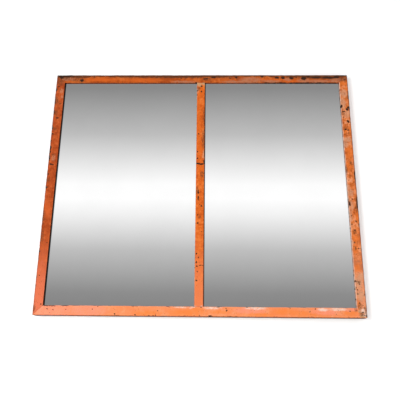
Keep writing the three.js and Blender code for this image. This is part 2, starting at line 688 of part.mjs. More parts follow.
// One light of the mirror, in a group centred on it with y = 0 at the back of the flanges.
function light(name, side) {
  const group = at(new THREE.Group(), side * LIGHT_CENTRE_X, FLANGE_BACK_Y, HALF_HEIGHT);
  const add = (part, geometry, finish, x, y, z) => {
    group.add(at(piece(`${name}_${part}`, geometry, finish), x, y, z));
  };

  add('glazing_tape', glazingTape(side), blackTape, 0, TAPE_FRONT, 0);
  add('mirror_pane', mirrorPane(), mirrorGlass, 0, GLASS_FRONT, 0);
  const board = new THREE.BoxGeometry(PANE_WIDTH, BOARD_THICKNESS, PANE_HEIGHT);
  add('backing_board', board, hardboard, 0, BOARD_FRONT + BOARD_THICKNESS / 2, 0);
  const blockX = PANE_WIDTH * (0.5 - BLOCK_PLACE);
  add('setting_block_left', settingBlock(), blockRubber, -blockX, 0, -LIGHT_HEIGHT / 2);
  add('setting_block_right', settingBlock(), blockRubber, blockX, 0, -LIGHT_HEIGHT / 2);

  for (const { edge, turn, x, z, upright } of BATTEN_PLACES) {
    const length = upright ? STILE_BATTEN_LENGTH : RAIL_BATTEN_LENGTH;
    const strip = piece(
      `${name}_${edge}_batten`, cut(batten(length), battenHoles(name, edge, upright)), pine);
    strip.rotation.y = turn;
    group.add(at(strip, x, BATTEN_FRONT, z));
  }
  return group;
}

mirror.add(light('left', -1));
mirror.add(light('right', 1));

// Hangers on the outer battens, and bumpers near the bottom corners.
for (const [name, side] of [['left', -1], ['right', 1]]) {
  const hanger = at(new THREE.Group(), side * HANGER_X, PIVOT_Y, PIVOT_Z);
  hanger.add(piece(`${name}_hanger_strap`, hangerStrap(), zincSteel));
  hanger.add(piece(`${name}_hanger_ring`, dRing(), zincSteel));
  HANGER_HOLE_DROPS.forEach((drop, i) => {
    const screw = piece(`${name}_hanger_screw_${i + 1}`, domedScrew(), zincSteel);
    screw.rotation.x = -Math.PI / 2;
    hanger.add(at(screw, 0, -LOOP_OUTER_RADIUS + STRAP_THICKNESS + FIT, -drop));
  });
  mirror.add(hanger);

  const button = piece(`${name}_wall_bumper`, bumper(), bumperRubber);
  const buttonX = side * (HALF_WIDTH - BUMPER_INSET);
  mirror.add(at(button, buttonX, BUMPER_FOOT_Y, STEEL_THICKNESS + FIT + BATTEN_WIDTH / 2));
}

export default mirror;
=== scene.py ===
"""A wall mirror built into an old two-light steel sash: its looks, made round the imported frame."""

import json
import math
import random
from functools import partial

import bmesh
import bpy
from mathutils import Matrix, Vector


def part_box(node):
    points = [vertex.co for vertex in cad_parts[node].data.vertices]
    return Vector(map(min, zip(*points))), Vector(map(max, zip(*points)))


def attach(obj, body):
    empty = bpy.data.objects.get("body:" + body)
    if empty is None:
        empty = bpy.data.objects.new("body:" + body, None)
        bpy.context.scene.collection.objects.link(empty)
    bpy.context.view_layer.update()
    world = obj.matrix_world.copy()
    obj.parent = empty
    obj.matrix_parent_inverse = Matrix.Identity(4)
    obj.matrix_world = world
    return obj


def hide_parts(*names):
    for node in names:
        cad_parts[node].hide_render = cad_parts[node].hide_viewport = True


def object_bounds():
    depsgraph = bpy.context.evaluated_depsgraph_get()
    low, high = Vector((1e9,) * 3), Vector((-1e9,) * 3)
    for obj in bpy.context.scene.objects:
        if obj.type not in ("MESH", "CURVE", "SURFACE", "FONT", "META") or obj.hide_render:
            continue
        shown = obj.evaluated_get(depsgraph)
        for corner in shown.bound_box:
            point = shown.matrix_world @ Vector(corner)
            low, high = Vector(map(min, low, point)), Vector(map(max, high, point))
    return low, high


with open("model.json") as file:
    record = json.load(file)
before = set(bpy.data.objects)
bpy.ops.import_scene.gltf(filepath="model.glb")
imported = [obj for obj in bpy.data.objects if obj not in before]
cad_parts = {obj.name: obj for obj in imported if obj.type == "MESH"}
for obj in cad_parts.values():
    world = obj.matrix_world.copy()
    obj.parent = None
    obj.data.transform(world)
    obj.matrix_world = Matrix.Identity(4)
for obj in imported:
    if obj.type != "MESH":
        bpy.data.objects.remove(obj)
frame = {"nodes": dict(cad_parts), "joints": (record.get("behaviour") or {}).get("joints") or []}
cad_low, cad_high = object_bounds()
chance = random.Random(7)

# ---------------------------------------------------------------- the steel frame
# Four angles and a tee of hot-rolled steel, 3 mm thick. The angles are mitred, and the tee's flange
# butts against the rails while its stem runs on behind them. All joints are welded and ground flush,
# and countersunk screws pass through the legs and the stem into the battens behind.

MM = 0.001
STEEL = 3 * MM
FACE = 30 * MM
LEG = 30 * MM
TEE_FACE = 28 * MM
ROOT_RADIUS = 5 * MM
TEE_ROOT_RADIUS = 4 * MM
TOE_RADIUS = 1.5 * MM
TEE_TOE_RADIUS = 1.2 * MM
HEEL_RADIUS = 1.2 * MM
ARRIS_RADIUS = 0.9 * MM
CORNER_RADIUS = 5 * MM
STEM_NIP = 4.75 * MM
COPE_PLAY = 0.3 * MM
FILLETS_END = 8.1 * MM
SEAM = 0.03 * MM
NEAR = 0.01 * MM
WELD_HALF = 0.3 * MM
ARRIS_REACH = 1.3 * MM

# Where the steel is cut lengthwise, in millimetres, so that wear has vertices to move, and the
# directions, in degrees, of the flats that round a corner up to the mitre.
FLANGE_SLICES = (10.5, 14.5, 18.5, 22.5, 26)
LEG_SLICES = (12, 17, 22, 26)
TEE_SLICES = (7, 10)
CORNER_FACETS = (78, 66, 54, 45)

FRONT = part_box("bottom_rail")[0].y
HALF_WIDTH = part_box("right_stile")[1].x
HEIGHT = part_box("top_rail")[1].z
TO_LOCAL_X = {"bottom": 0, "top": math.pi, "left": math.pi / 2, "right": -math.pi / 2}


def pick(piece):
    """Selects one piece alone and makes it the active one."""
    bpy.ops.object.select_all(action="DESELECT")
    bpy.context.view_layer.objects.active = piece
    piece.select_set(True)


def name_it(piece, name):
    piece.name = piece.data.name = name
    return piece


def settle(piece, place, turn=Matrix.Identity(4)):
    """Turns a piece and moves it to its place, and puts both into its mesh."""
    pick(piece)
    piece.matrix_world = Matrix.Translation(place) @ turn
    bpy.ops.object.transform_apply()
    return piece


def block(name, low, high):
    """A box between two corners, with its place and size in its mesh."""
    low, high = Vector(low), Vector(high)
    bpy.ops.mesh.primitive_cube_add(size=1, location=(low + high) / 2)
    piece = name_it(bpy.context.object, name)
    piece.scale = high - low
    bpy.ops.object.transform_apply()
    return piece


def edit(piece=None):
    if piece is not None:
        pick(piece)
    bpy.ops.object.mode_set(mode="EDIT")


def leave_edit():
    bpy.ops.object.mode_set(mode="OBJECT")


def select(kind, rule):
    """In edit mode, selects those verts, edges or faces that the rule holds for, and no others."""
    bpy.ops.mesh.select_mode(type={"verts": "VERT", "edges": "EDGE", "faces": "FACE"}[kind])
    bpy.ops.mesh.select_all(action="DESELECT")
    mesh = bmesh.from_edit_mesh(bpy.context.object.data)
    for part in getattr(mesh, kind):
        if rule(part):
            part.select_set(True)
    bmesh.update_edit_mesh(bpy.context.object.data)


def slice_at(place, normal, clear=False):
    """Cuts the whole mesh along a plane, and with clear takes away and closes what lies beyond it."""
    bpy.ops.mesh.select_all(action="SELECT")
    bpy.ops.mesh.bisect(
        plane_co=place, plane_no=Vector(normal).normalized(), clear_outer=clear, use_fill=clear,
        threshold=NEAR / 10)


def extrude(x=0.0, y=0.0, z=0.0):
    bpy.ops.mesh.extrude_region_move(TRANSFORM_OT_translate={"value": (x, y, z)})


def bevel_all(width, segments):
    bpy.ops.mesh.select_all(action="SELECT")
    bpy.ops.mesh.bevel(offset=width, segments=segments, affect="EDGES")


def round_edge(y, z, radius, steps=5):
    """Rounds the edge that runs along X at this depth and height."""
    def on_it(edge):
        return all(abs(v.co.y - y) < NEAR and abs(v.co.z - z) < NEAR for v in edge.verts)
    select("edges", on_it)
    bpy.ops.mesh.bevel(offset=radius, segments=steps, affect="EDGES")


def cut_lengthwise(shortest, rounds, along="x"):
    """Cuts all long edges along one axis into short ones, so that the bar can take wear."""
    axis = "xyz".index(along)
    for cuts in rounds:
        def is_long(edge):
            span = edge.verts[1].co - edge.verts[0].co
            return span.length > shortest and abs(span.normalized()[axis]) > 0.99
        select("edges", is_long)
        bpy.ops.mesh.subdivide(number_cuts=cuts)


def apply_modifier(piece, kind, **settings):
    pick(piece)
    modifier = piece.modifiers.new(kind.lower(), kind)
    for setting, value in settings.items():
        setattr(modifier, setting, value)
    bpy.ops.object.modifier_apply(modifier=modifier.name)


def cut_away(piece, cutters):
    """Takes all the cutters out of the piece, and deletes them."""
    if not cutters:
        return
    pick(cutters[0])
    for cutter in cutters:
        cutter.select_set(True)
    if len(cutters) > 1:
        bpy.ops.object.join()
    cutter = bpy.context.object
    apply_modifier(piece, "BOOLEAN", object=cutter, operation="DIFFERENCE", solver="EXACT")
    bpy.data.objects.remove(cutter)


def cloud_texture(name, size, depth):
    texture = bpy.data.textures.new(name, "CLOUDS")
    texture.noise_scale = size
    texture.noise_depth = depth
    return texture


def wear_down(piece, texture, depth, group):
    """Sinks the surface by up to this depth, unevenly as the texture says."""
    apply_modifier(
        piece, "DISPLACE", texture=texture, texture_coords="LOCAL", mid_level=1.0,
        strength=depth, vertex_group=group)


def smooth_by_angle(piece, degrees=35):
    pick(piece)
    bpy.ops.object.shade_smooth_by_angle(angle=math.radians(degrees))


def turned(name, sides, stations):
    """A round solid about the Z axis, through these (height, radius) stations from its low end up."""
    (low, low_radius), (height, radius) = stations[:2]
    bpy.ops.mesh.primitive_cone_add(
        vertices=sides, radius1=low_radius, radius2=radius, depth=height - low,
        location=(0, 0, (low + height) / 2))
    piece = name_it(bpy.context.object, name)
    bpy.ops.object.transform_apply()
    edit()
    top = height - NEAR
    select("faces", lambda face: all(v.co.z > top for v in face.verts))
    for next_height, next_radius in stations[2:]:
        extrude(z=next_height - height)
        share = next_radius / radius
        bpy.ops.transform.resize(value=(share, share, 1), center_override=(0, 0, 0))
        height, radius = next_height, next_radius
    leave_edit()
    return piece


# The countersunk screws enter the steel from outside, and their clearance holes are cut here. A head's
# rounded rim is given as heights, and how far short of the head's radius it is at each.
SCREW_RADIUS = 2 * MM
HEAD_RADIUS = 4 * MM
HEAD_EDGE = 0.4 * MM
HEAD_RIM = ((-HEAD_EDGE, 0.05 * MM), (-0.25 * MM, 0.0), (-0.1 * MM, 0.05 * MM), (0.0, 0.25 * MM))
HOLE_PLAY = 0.22 * MM


def screw_run(name):
    """Where a screw's head lies, which way it points and how long it is, from its box."""
    low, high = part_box(name)
    size = high - low
    axis = max(range(3), key=lambda i: size[i])
    backwards = name.startswith(("top_rail", "right_stile")) or "hanger" in name
    way = Vector((0, 0, 0))
    way[axis] = -1 if backwards else 1
    head = (low + high) / 2
    head[axis] = high[axis] if backwards else low[axis]
    return head, way, size[axis]


def aimed(way, roll=0.0):
    """The turn that lays a piece's own -Z along a direction."""
    return way.to_track_quat("-Z", "Y").to_matrix().to_4x4() @ Matrix.Rotation(roll, 4, "Z")


def screw_room(name):
    """A cutter a little larger than a countersunk screw, in that screw's place."""
    head, way, length = screw_run(name)
    wide, narrow = HEAD_RADIUS + HOLE_PLAY, SCREW_RADIUS + HOLE_PLAY
    room = turned("screw room", 24, [
        (-length - HOLE_PLAY, narrow), (-HEAD_EDGE - (wide - narrow), narrow), (-HEAD_EDGE, wide),
        (STEEL, wide)])
    return settle(room, head, aimed(way))


def rolled_angle(name, length):
    """An angle along X, its heel on the X axis: the flange stands in front, the leg runs back."""
    bar = block(name, (-length / 2, 0, 0), (length / 2, STEEL, FACE))
    edit()
    slice_at((0, 0, STEEL), (0, 0, 1))
    select("faces", lambda face: face.normal.y > 0.9 and face.calc_center_median().z < STEEL)
    extrude(y=LEG - STEEL)
    round_edge(STEEL, STEEL, ROOT_RADIUS)
    round_edge(STEEL, FACE, TOE_RADIUS)
    round_edge(LEG, STEEL, TOE_RADIUS)
    round_edge(0, 0, HEEL_RADIUS)
    round_edge(0, FACE, ARRIS_RADIUS)
    round_edge(LEG, 0, ARRIS_RADIUS)
    for height in FLANGE_SLICES:
        slice_at((0, 0, height * MM), (0, 0, 1))
    for depth in LEG_SLICES:
        slice_at((0, depth * MM, 0), (0, 1, 0))
    for side in (-1, 1):
        slice_at((side * (length / 2 - SEAM), 0, 0), (side, 0, 1), clear=True)
        for angle in map(math.radians, CORNER_FACETS):
            outward = Vector((side * math.cos(angle), 0, -math.sin(angle)))
            middle = Vector((side * (length / 2 - CORNER_RADIUS), 0, CORNER_RADIUS))
            slice_at(middle + CORNER_RADIUS * outward, outward, clear=True)
    cut_lengthwise(5 * MM, (99, 2))
    leave_edit()
    return bar


def rolled_tee(name, length):
    """A tee along X, its flange in front and its stem running back from the middle."""
    half = TEE_FACE / 2
    stem = STEEL / 2
    bar = block(name, (-length / 2, 0, -half), (length / 2, STEEL, half))
    edit()
    slice_at((0, 0, stem), (0, 0, 1))
    slice_at((0, 0, -stem), (0, 0, 1))
    select("faces", lambda face: face.normal.y > 0.9 and abs(face.calc_center_median().z) < stem)
    extrude(y=LEG - STEEL)
    for side in (-1, 1):
        round_edge(STEEL, side * stem, TEE_ROOT_RADIUS)
        round_edge(STEEL, side * half, TEE_TOE_RADIUS)
        round_edge(0, side * half, ARRIS_RADIUS)
        round_edge(LEG, side * stem, ARRIS_RADIUS)
        for across in TEE_SLICES:
            slice_at((0, 0, side * across * MM), (0, 0, 1))
    for depth in LEG_SLICES:
        slice_at((0, depth * MM, 0), (0, 1, 0))
    leave_edit()
    return bar


def cope_tee(bar, length):
    """Cuts the flange and fillets off both ends, so that the stem alone passes behind the rails."""
    flange_end = HEIGHT / 2 - FACE - SEAM
    beyond = length / 2 + LEG
    cutters = []
    for side in (-1, 1):
        near, far = sorted((side * flange_end, side * beyond))
        cutters.append(block("cope", (near, -LEG, -FACE), (far, STEEL + COPE_PLAY, FACE)))
        for wing in (-1, 1):
            low, high = sorted((wing * (STEEL / 2 - NEAR), wing * FACE))
            cutters.append(block("cope", (near, -LEG, low), (far, FILLETS_END, high)))
    for cutter in cutters:
        cut_away(bar, [cutter])
    edit(bar)
    for side in (-1, 1):
        slice_at((side * (HEIGHT / 2 - STEEL - STEM_NIP), STEEL, 0), (side, -1, 0), clear=True)
        slice_at((side * (flange_end - NEAR), 0, 0), (1, 0, 0))
    cut_lengthwise(FACE, (99, 1))
    leave_edit()


def group_skin(bar, tee_half=0.0):
    """Puts the bar's vertices in two groups: all but the welded ends, and the long front arrises."""
    skin = bar.vertex_groups.new(name="skin")
    arrises = bar.vertex_groups.new(name="arrises")
    for vertex in bar.data.vertices:
        x, y, z = vertex.co
        from_side, from_end = HALF_WIDTH - abs(x), min(z, HEIGHT - z)
        outside = min(from_side, from_end)
        at_weld = from_end < FACE + MM if tee_half else abs(from_side - from_end) < WELD_HALF
        if at_weld:
            continue
        skin.add([vertex.index], 1.0, "REPLACE")
        sideways = abs(abs(x) - tee_half) if tee_half else min(outside, abs(FACE - outside))
        if y - FRONT < ARRIS_REACH and sideways < ARRIS_REACH:
            arrises.add([vertex.index], 1.0, "REPLACE")


# The steel's unevenness: long waves from rolling and straightening, scale under the paint, and the
# knocks that its arrises have taken.
UNEVENNESS = (
    (cloud_texture("rolling waves", 70 * MM, 2), 0.30 * MM, "skin"),
    (cloud_texture("painted scale", 9 * MM, 3), 0.18 * MM, "skin"),
    (cloud_texture("knocks", 14 * MM, 4), 1.0 * MM, "arrises"))

members = {}
for edge_name, place, length in (
        ("bottom", (0, FRONT, 0), 2 * HALF_WIDTH),
        ("top", (0, FRONT, HEIGHT), 2 * HALF_WIDTH),
        ("left", (-HALF_WIDTH, FRONT, HEIGHT / 2), HEIGHT),
        ("right", (HALF_WIDTH, FRONT, HEIGHT / 2), HEIGHT)):
    node_name = edge_name + ("_stile" if edge_name in ("left", "right") else "_rail")
    steel = rolled_angle(node_name + "_steel", length)
    members[node_name] = settle(steel, place, Matrix.Rotation(TO_LOCAL_X[edge_name], 4, "Y"))

tee_low, tee_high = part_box("centre_glazing_bar")
tee = rolled_tee("centre_glazing_bar_steel", tee_high.z - tee_low.z)
cope_tee(tee, tee_high.z - tee_low.z)
members["centre_glazing_bar"] = settle(
    tee, (0, FRONT, HEIGHT / 2), Matrix.Rotation(TO_LOCAL_X["right"], 4, "Y"))

for node_name, steel in members.items():
    group_skin(steel, TEE_FACE / 2 if node_name == "centre_glazing_bar" else 0.0)
    for texture, depth, group in UNEVENNESS:
        wear_down(steel, texture, depth, group)
    screw_names = node_name.replace("centre_", "") + "_screw"
    cut_away(steel, [screw_room(name) for name in frame["nodes"] if name.startswith(screw_names)])
    smooth_by_angle(steel)


def hand_over(piece, node_name, slot, *materials, body="frame"):
    """Gives the piece its materials, and the node's place on its body."""
    for material in materials:
        piece.data.materials.append(material)
    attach(piece, body)
    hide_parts(node_name)


# The old enamel. Colours are given as display values from 0 to 255.

def shade(red, green, blue):
    def linear(value):
        value /= 255
        return value / 12.92 if value <= 0.04045 else ((value + 0.055) / 1.055) ** 2.4
    return (linear(red), linear(green), linear(blue), 1.0)


def grey(value):
    return shade(value, value, value)


def add_node(tree, kind, inputs=None, **settings):
    """A shader node with its settings made and its inputs set or linked."""
    made = tree.nodes.new("ShaderNode" + kind)
    for setting, value in settings.items():
        setattr(made, setting, value)
    for socket, value in (inputs or {}).items():
        if isinstance(value, bpy.types.NodeSocket):
            tree.links.new(value, made.inputs[socket])
        else:
            made.inputs[socket].default_value = value
    return made


# The helpers below put their node in the tree that their first linked value comes from.
def tree_of(*values):
    return next(value.id_data for value in values if isinstance(value, bpy.types.NodeSocket))


def calculate(operation, *values):
    made = add_node(tree_of(*values), "Math", dict(enumerate(values)), operation=operation)
    return made.outputs[0]


plus, minus, times, over, greatest, least_of, size_of, sine = (
    partial(calculate, operation) for operation in (
        "ADD", "SUBTRACT", "MULTIPLY", "DIVIDE", "MAXIMUM", "MINIMUM", "ABSOLUTE", "SINE"))


def place_maths(operation, *values):
    made = add_node(tree_of(*values), "VectorMath", dict(enumerate(values)), operation=operation)
    return made.outputs[0]


stretch = partial(place_maths, "MULTIPLY")


def parts_of(vector):
    return add_node(vector.id_data, "SeparateXYZ", {0: vector}).outputs


def mix_colours(share, first, second):
    tree = tree_of(share, first, second)
    return add_node(tree, "Mix", {0: share, 6: first, 7: second}, data_type="RGBA").outputs[2]


def ease(value, start, end, low=0.0, high=1.0):
    """A smooth step of the value from low at start to high at end."""
    steps = {0: value, 1: start, 2: end, 3: low, 4: high}
    return add_node(tree_of(value), "MapRange", steps, interpolation_type="SMOOTHSTEP").outputs[0]


def noise(vector, scale, detail=4.0, roughness=0.6, output=0):
    settings = {"Vector": vector, "Scale": scale, "Detail": detail, "Roughness": roughness}
    return add_node(vector.id_data, "TexNoise", settings).outputs[output]


def colour_ramp(value, *stops):
    made = add_node(value.id_data, "ValToRGB", {0: value})
    elements = made.color_ramp.elements
    for place, colour in stops[2:]:
        elements.new(place)
    for element, (place, colour) in zip(elements, stops):
        element.position = place
        element.color = colour
    return made.outputs[0]


def new_group(name, inputs, outputs):
    """A shader node group, its sockets listed by kind, with its two end nodes."""
    tree = bpy.data.node_groups.new(name, "ShaderNodeTree")
    for way, sockets in (("INPUT", inputs), ("OUTPUT", outputs)):
        for kind, labels in sockets.items():
            for label in labels.split():
                tree.interface.new_socket(label, in_out=way, socket_type="NodeSocket" + kind)
    return tree, tree.nodes.new("NodeGroupInput").outputs, tree.nodes.new("NodeGroupOutput").inputs


def place_group(group, inputs):
    return add_node(tree_of(*inputs.values()), "Group", inputs, node_tree=group).outputs


def give(socket, value):
    """Links a value to one of the outputs of the group that it was worked out in."""
    value.id_data.links.new(value, socket)


def new_material(name):
    """A material, its Principled shader and the object's own coordinates in it."""
    material = bpy.data.materials.new(name)
    material.use_nodes = True
    tree = material.node_tree
    return material, tree.nodes["Principled BSDF"], add_node(tree, "TexCoord").outputs["Object"]


def connect(surface, colour, roughness, height=None, relief=0.0):
    """Links what varies to the shader. The relief is the bump's depth in metres."""
    tree = surface.id_data
    tree.links.new(colour, surface.inputs["Base Color"])
    tree.links.new(roughness, surface.inputs["Roughness"])
    if height is not None:
        bump = add_node(tree, "Bump", {"Strength": 0.8, "Distance": relief, "Height": height})
        tree.links.new(bump.outputs[0], surface.inputs["Normal"])


# A place shaken by coarse and fine noise, so that what is drawn round it gets a frayed edge.
frayed_place, taken, given = new_group(
    "frayed place", {"Vector": "Vector", "Float": "Coarse Fine"}, {"Vector": "Vector"})
shaken = taken["Vector"]
for scale, reach in ((75.0, "Coarse"), (330.0, "Fine")):
    shake = place_maths("SUBTRACT", noise(taken["Vector"], scale, 3.0, 0.6, 1), (0.5, 0.5, 0.5))
    shake = add_node(
        frayed_place, "VectorMath", {0: shake, "Scale": taken[reach]}, operation="SCALE").outputs[0]
    shaken = place_maths("ADD", shaken, shake)
give(given["Vector"], shaken)

# One spot or stain: 1 at its middle, falling to 0 round its reach.
spot_group, taken, given = new_group(
    "spot", {"Vector": "Vector Middle Reach", "Float": "Soft"}, {"Float": "Mask"})
away = place_maths("DIVIDE", place_maths("SUBTRACT", taken["Vector"], taken["Middle"]), taken["Reach"])
away = add_node(spot_group, "VectorMath", {0: away}, operation="LENGTH").outputs["Value"]
give(given["Mask"], ease(away, plus(1.0, taken["Soft"]), minus(1.0, taken["Soft"])))

MARK_DEPTH = 12 * MM


def spots(vector, marks, soft):
    """One mask of several marks, each given in millimetres: x, z, and its reach along X and Z."""
    total = 0.0
    for x, z, reach_x, reach_z in marks:
        mask = place_group(spot_group, {
            "Vector": vector, "Middle": (x * MM, FRONT, z * MM),
            "Reach": (reach_x * MM, MARK_DEPTH, reach_z * MM), "Soft": soft})["Mask"]
        total = greatest(total, mask)
    return total


# Small round pits or dots scattered over a surface, each in a cell of its own.
scattered_dots, taken, given = new_group(
    "scattered dots", {"Vector": "Vector", "Float": "Scale Share Size"}, {"Float": "Mask"})
cells = add_node(
    scattered_dots, "TexVoronoi",
    {"Vector": taken["Vector"], "Scale": taken["Scale"], "Randomness": 1.0})
lot = add_node(scattered_dots, "SeparateColor", {0: cells.outputs["Color"]}).outputs[0]
reach = times(ease(lot, minus(1.0, taken["Share"]), 1.0), taken["Size"])
give(given["Mask"], ease(minus(cells.outputs["Distance"], reach), 0.04, -0.06))

RUST_BROWN = shade(112, 63, 36)
RUST_AND_SHADE_BLACK = shade(48, 31, 23)
PRIMER = shade(196, 160, 118)
PAINTED_SHADE = shade(52, 30, 22)
CHALK_AND_HIGHLIGHT = shade(246, 214, 196)

enamel, taken, given = new_group(
    "old orange enamel",
    {"Vector": "Vector Frayed Grain", "Color": "Deep Middle Light Foot Faded Vivid",
     "Float": "Bleached Speckle Bright Pale Brown Black Heavy Primer Grime Chalk"},
    {"Color": "Colour", "Float": "Roughness Height"})
place = taken["Vector"]
parts = parts_of(place)
up = parts["Z"]
from_top = minus(HEIGHT, up)
from_side = minus(HALF_WIDTH, size_of(parts["X"]))
from_end = least_of(up, from_top)
from_edge = least_of(from_side, from_end)
blotches = noise(place, 21.0, 5.0, 0.62)
clouds = noise(place, 95.0, 5.0, 0.65)
mottle = noise(place, 360.0, 4.0, 0.65)
grit = noise(place, 1300.0, 2.0, 0.6)
streaks = noise(stretch(taken["Grain"], (11, 360, 360)), 1.0, 3.0, 0.6)

# The paint itself: deeper and lighter blotches at several scales, with brush streaks along the bar.
tone = plus(times(blotches, 0.4), times(clouds, 0.6))
paint = mix_colours(ease(tone, 0.42, 0.5), taken["Deep"], taken["Middle"])
paint = mix_colours(ease(tone, 0.5, 0.6), paint, taken["Light"])
paint = mix_colours(ease(streaks, 0.5, 0.72, 0.0, 0.45), paint, taken["Light"])
paint = mix_colours(ease(mottle, 0.5, 0.66, 0.0, 0.5), paint, taken["Deep"])
paint = mix_colours(times(taken["Bright"], 0.75), paint, taken["Vivid"])

# The paint turns paler towards the foot of the frame, unevenly. Faded and chalky patches lie all over,
# and pale painted highlights lie along the edges that face the light.
wander = times(minus(clouds, 0.5), 0.22)
paling_share = ease(plus(up, wander), 0.26, 0.03)
paling_share = times(paling_share, taken["Bleached"])
paling_share = times(paling_share, minus(1.0, times(taken["Bright"], 0.8)))
paling_share = times(paling_share, ease(mottle, 0.30, 0.5, 0.8, 1.0))
paint = mix_colours(paling_share, paint, taken["Foot"])
paint = mix_colours(times(taken["Pale"], ease(mottle, 0.58, 0.46, 0.2, 0.9)), paint, taken["Faded"])
paint = mix_colours(times(taken["Primer"], ease(mottle, 0.42, 0.5, 0.3, 0.95)), paint, PRIMER)
# Pale painted highlights along the edges that face the light, and a few chalky spots.
paint = mix_colours(times(taken["Chalk"], ease(clouds, 0.4, 0.55, 0.35, 0.9)), paint, CHALK_AND_HIGHLIGHT)

# Stains, the rust that follows the top edge and the outer arrises, pits and black rust, and painted
# shade on the edges and walls that face right and down, away from the light.
stains = times(taken["Brown"], ease(mottle, 0.43, 0.54, 0.2, 0.95))
paint = mix_colours(stains, paint, RUST_BROWN)
band_width = ease(noise(stretch(place, (24, 0, 0)), 1.0, 4.0, 0.75), 0.38, 0.66, 5.0 * MM, 8.5 * MM)
band_width = plus(band_width, times(taken["Heavy"], 5 * MM))
frayed_parts = parts_of(taken["Frayed"])
frayed_side = minus(HALF_WIDTH, size_of(frayed_parts["X"]))
frayed_edge = least_of(frayed_side, frayed_parts["Z"])
frayed_top = minus(HEIGHT, frayed_parts["Z"])
band = ease(over(frayed_top, band_width), 1.25, 0.7)
chipped = times(ease(frayed_edge, 2.6 * MM, 1.2 * MM), ease(clouds, 0.4, 0.56, 0.35, 1.0))
worn_arris = times(ease(from_edge, 3.0 * MM, 1.4 * MM), ease(clouds, 0.36, 0.56, 0.5, 1.0))
chipped = greatest(chipped, worn_arris)
depth = minus(frayed_parts["Y"], FRONT)
at_arris = greatest(ease(depth, 4.5 * MM, 1.5 * MM), ease(depth, LEG - 3 * MM, LEG - 1 * MM))
chipped = times(chipped, ease(at_arris, 0.0, 1.0, 0.06, 1.0))
band = times(band, ease(greatest(at_arris, ease(clouds, 0.46, 0.58)), 0.0, 1.0, 0.35, 1.0))
inner_edge = size_of(minus(from_edge, FACE))
flaked = times(ease(inner_edge, 1.6 * MM, 0.5 * MM), ease(clouds, 0.54, 0.6))
rust = greatest(times(band, 0.92), times(greatest(chipped, flaked), 0.8))
rust_colour = mix_colours(ease(mottle, 0.38, 0.62), RUST_AND_SHADE_BLACK, RUST_BROWN)
paint = mix_colours(rust, paint, rust_colour)
pits = place_group(
    scattered_dots, {"Vector": place, "Scale": 150.0, "Share": taken["Speckle"], "Size": 0.34})["Mask"]
flecks = place_group(scattered_dots, {
    "Vector": place, "Scale": 430.0, "Share": times(taken["Speckle"], 2.2), "Size": 0.4})["Mask"]
flecks = times(flecks, ease(blotches, 0.40, 0.58, 0.1, 0.8))
seam = size_of(minus(from_side, from_end))
seam = times(ease(seam, 0.9 * MM, 0.2 * MM), ease(clouds, 0.36, 0.5, 0.15, 0.7))
seam = times(seam, ease(greatest(parts["X"], up), 0.2, 0.0, 0.15, 1.0))
pits_and_black_marks = greatest(greatest(pits, flecks), taken["Black"])
paint = mix_colours(seam, paint, RUST_BROWN)
# Painted shade: dark brown on the edges and walls that face right and down, away from the light.
paint = mix_colours(taken["Grime"], paint, PAINTED_SHADE)
# Black rust, pits, and a painted shade line along the top rail's lower edge.
paint = mix_colours(pits_and_black_marks, paint, RUST_AND_SHADE_BLACK)
paint = mix_colours(ease(grit, 0.35, 0.7, 0.16, 0.0), paint, RUST_BROWN)
give(given["Colour"], paint)

rough = greatest(greatest(rust, pits_and_black_marks), stains)
gloss = plus(ease(mottle, 0.35, 0.65, 0.44, 0.60), times(paling_share, 0.12))
give(given["Roughness"], plus(gloss, times(rough, 0.28)))
relief = plus(times(streaks, 0.22), times(mottle, 0.3))
relief = plus(relief, times(grit, plus(0.06, times(rough, 0.35))))
give(given["Height"], minus(relief, times(rough, 0.6)))

# How far coarse and fine noise shake the outline of a mark, and over what width an edge of painted
# shade and painted highlight fades to the side and back, in millimetres.
FRAYED = (12, 7)
CRISP = (7, 6)
EDGE_FADE = 0.6
BACK_FADE = 2
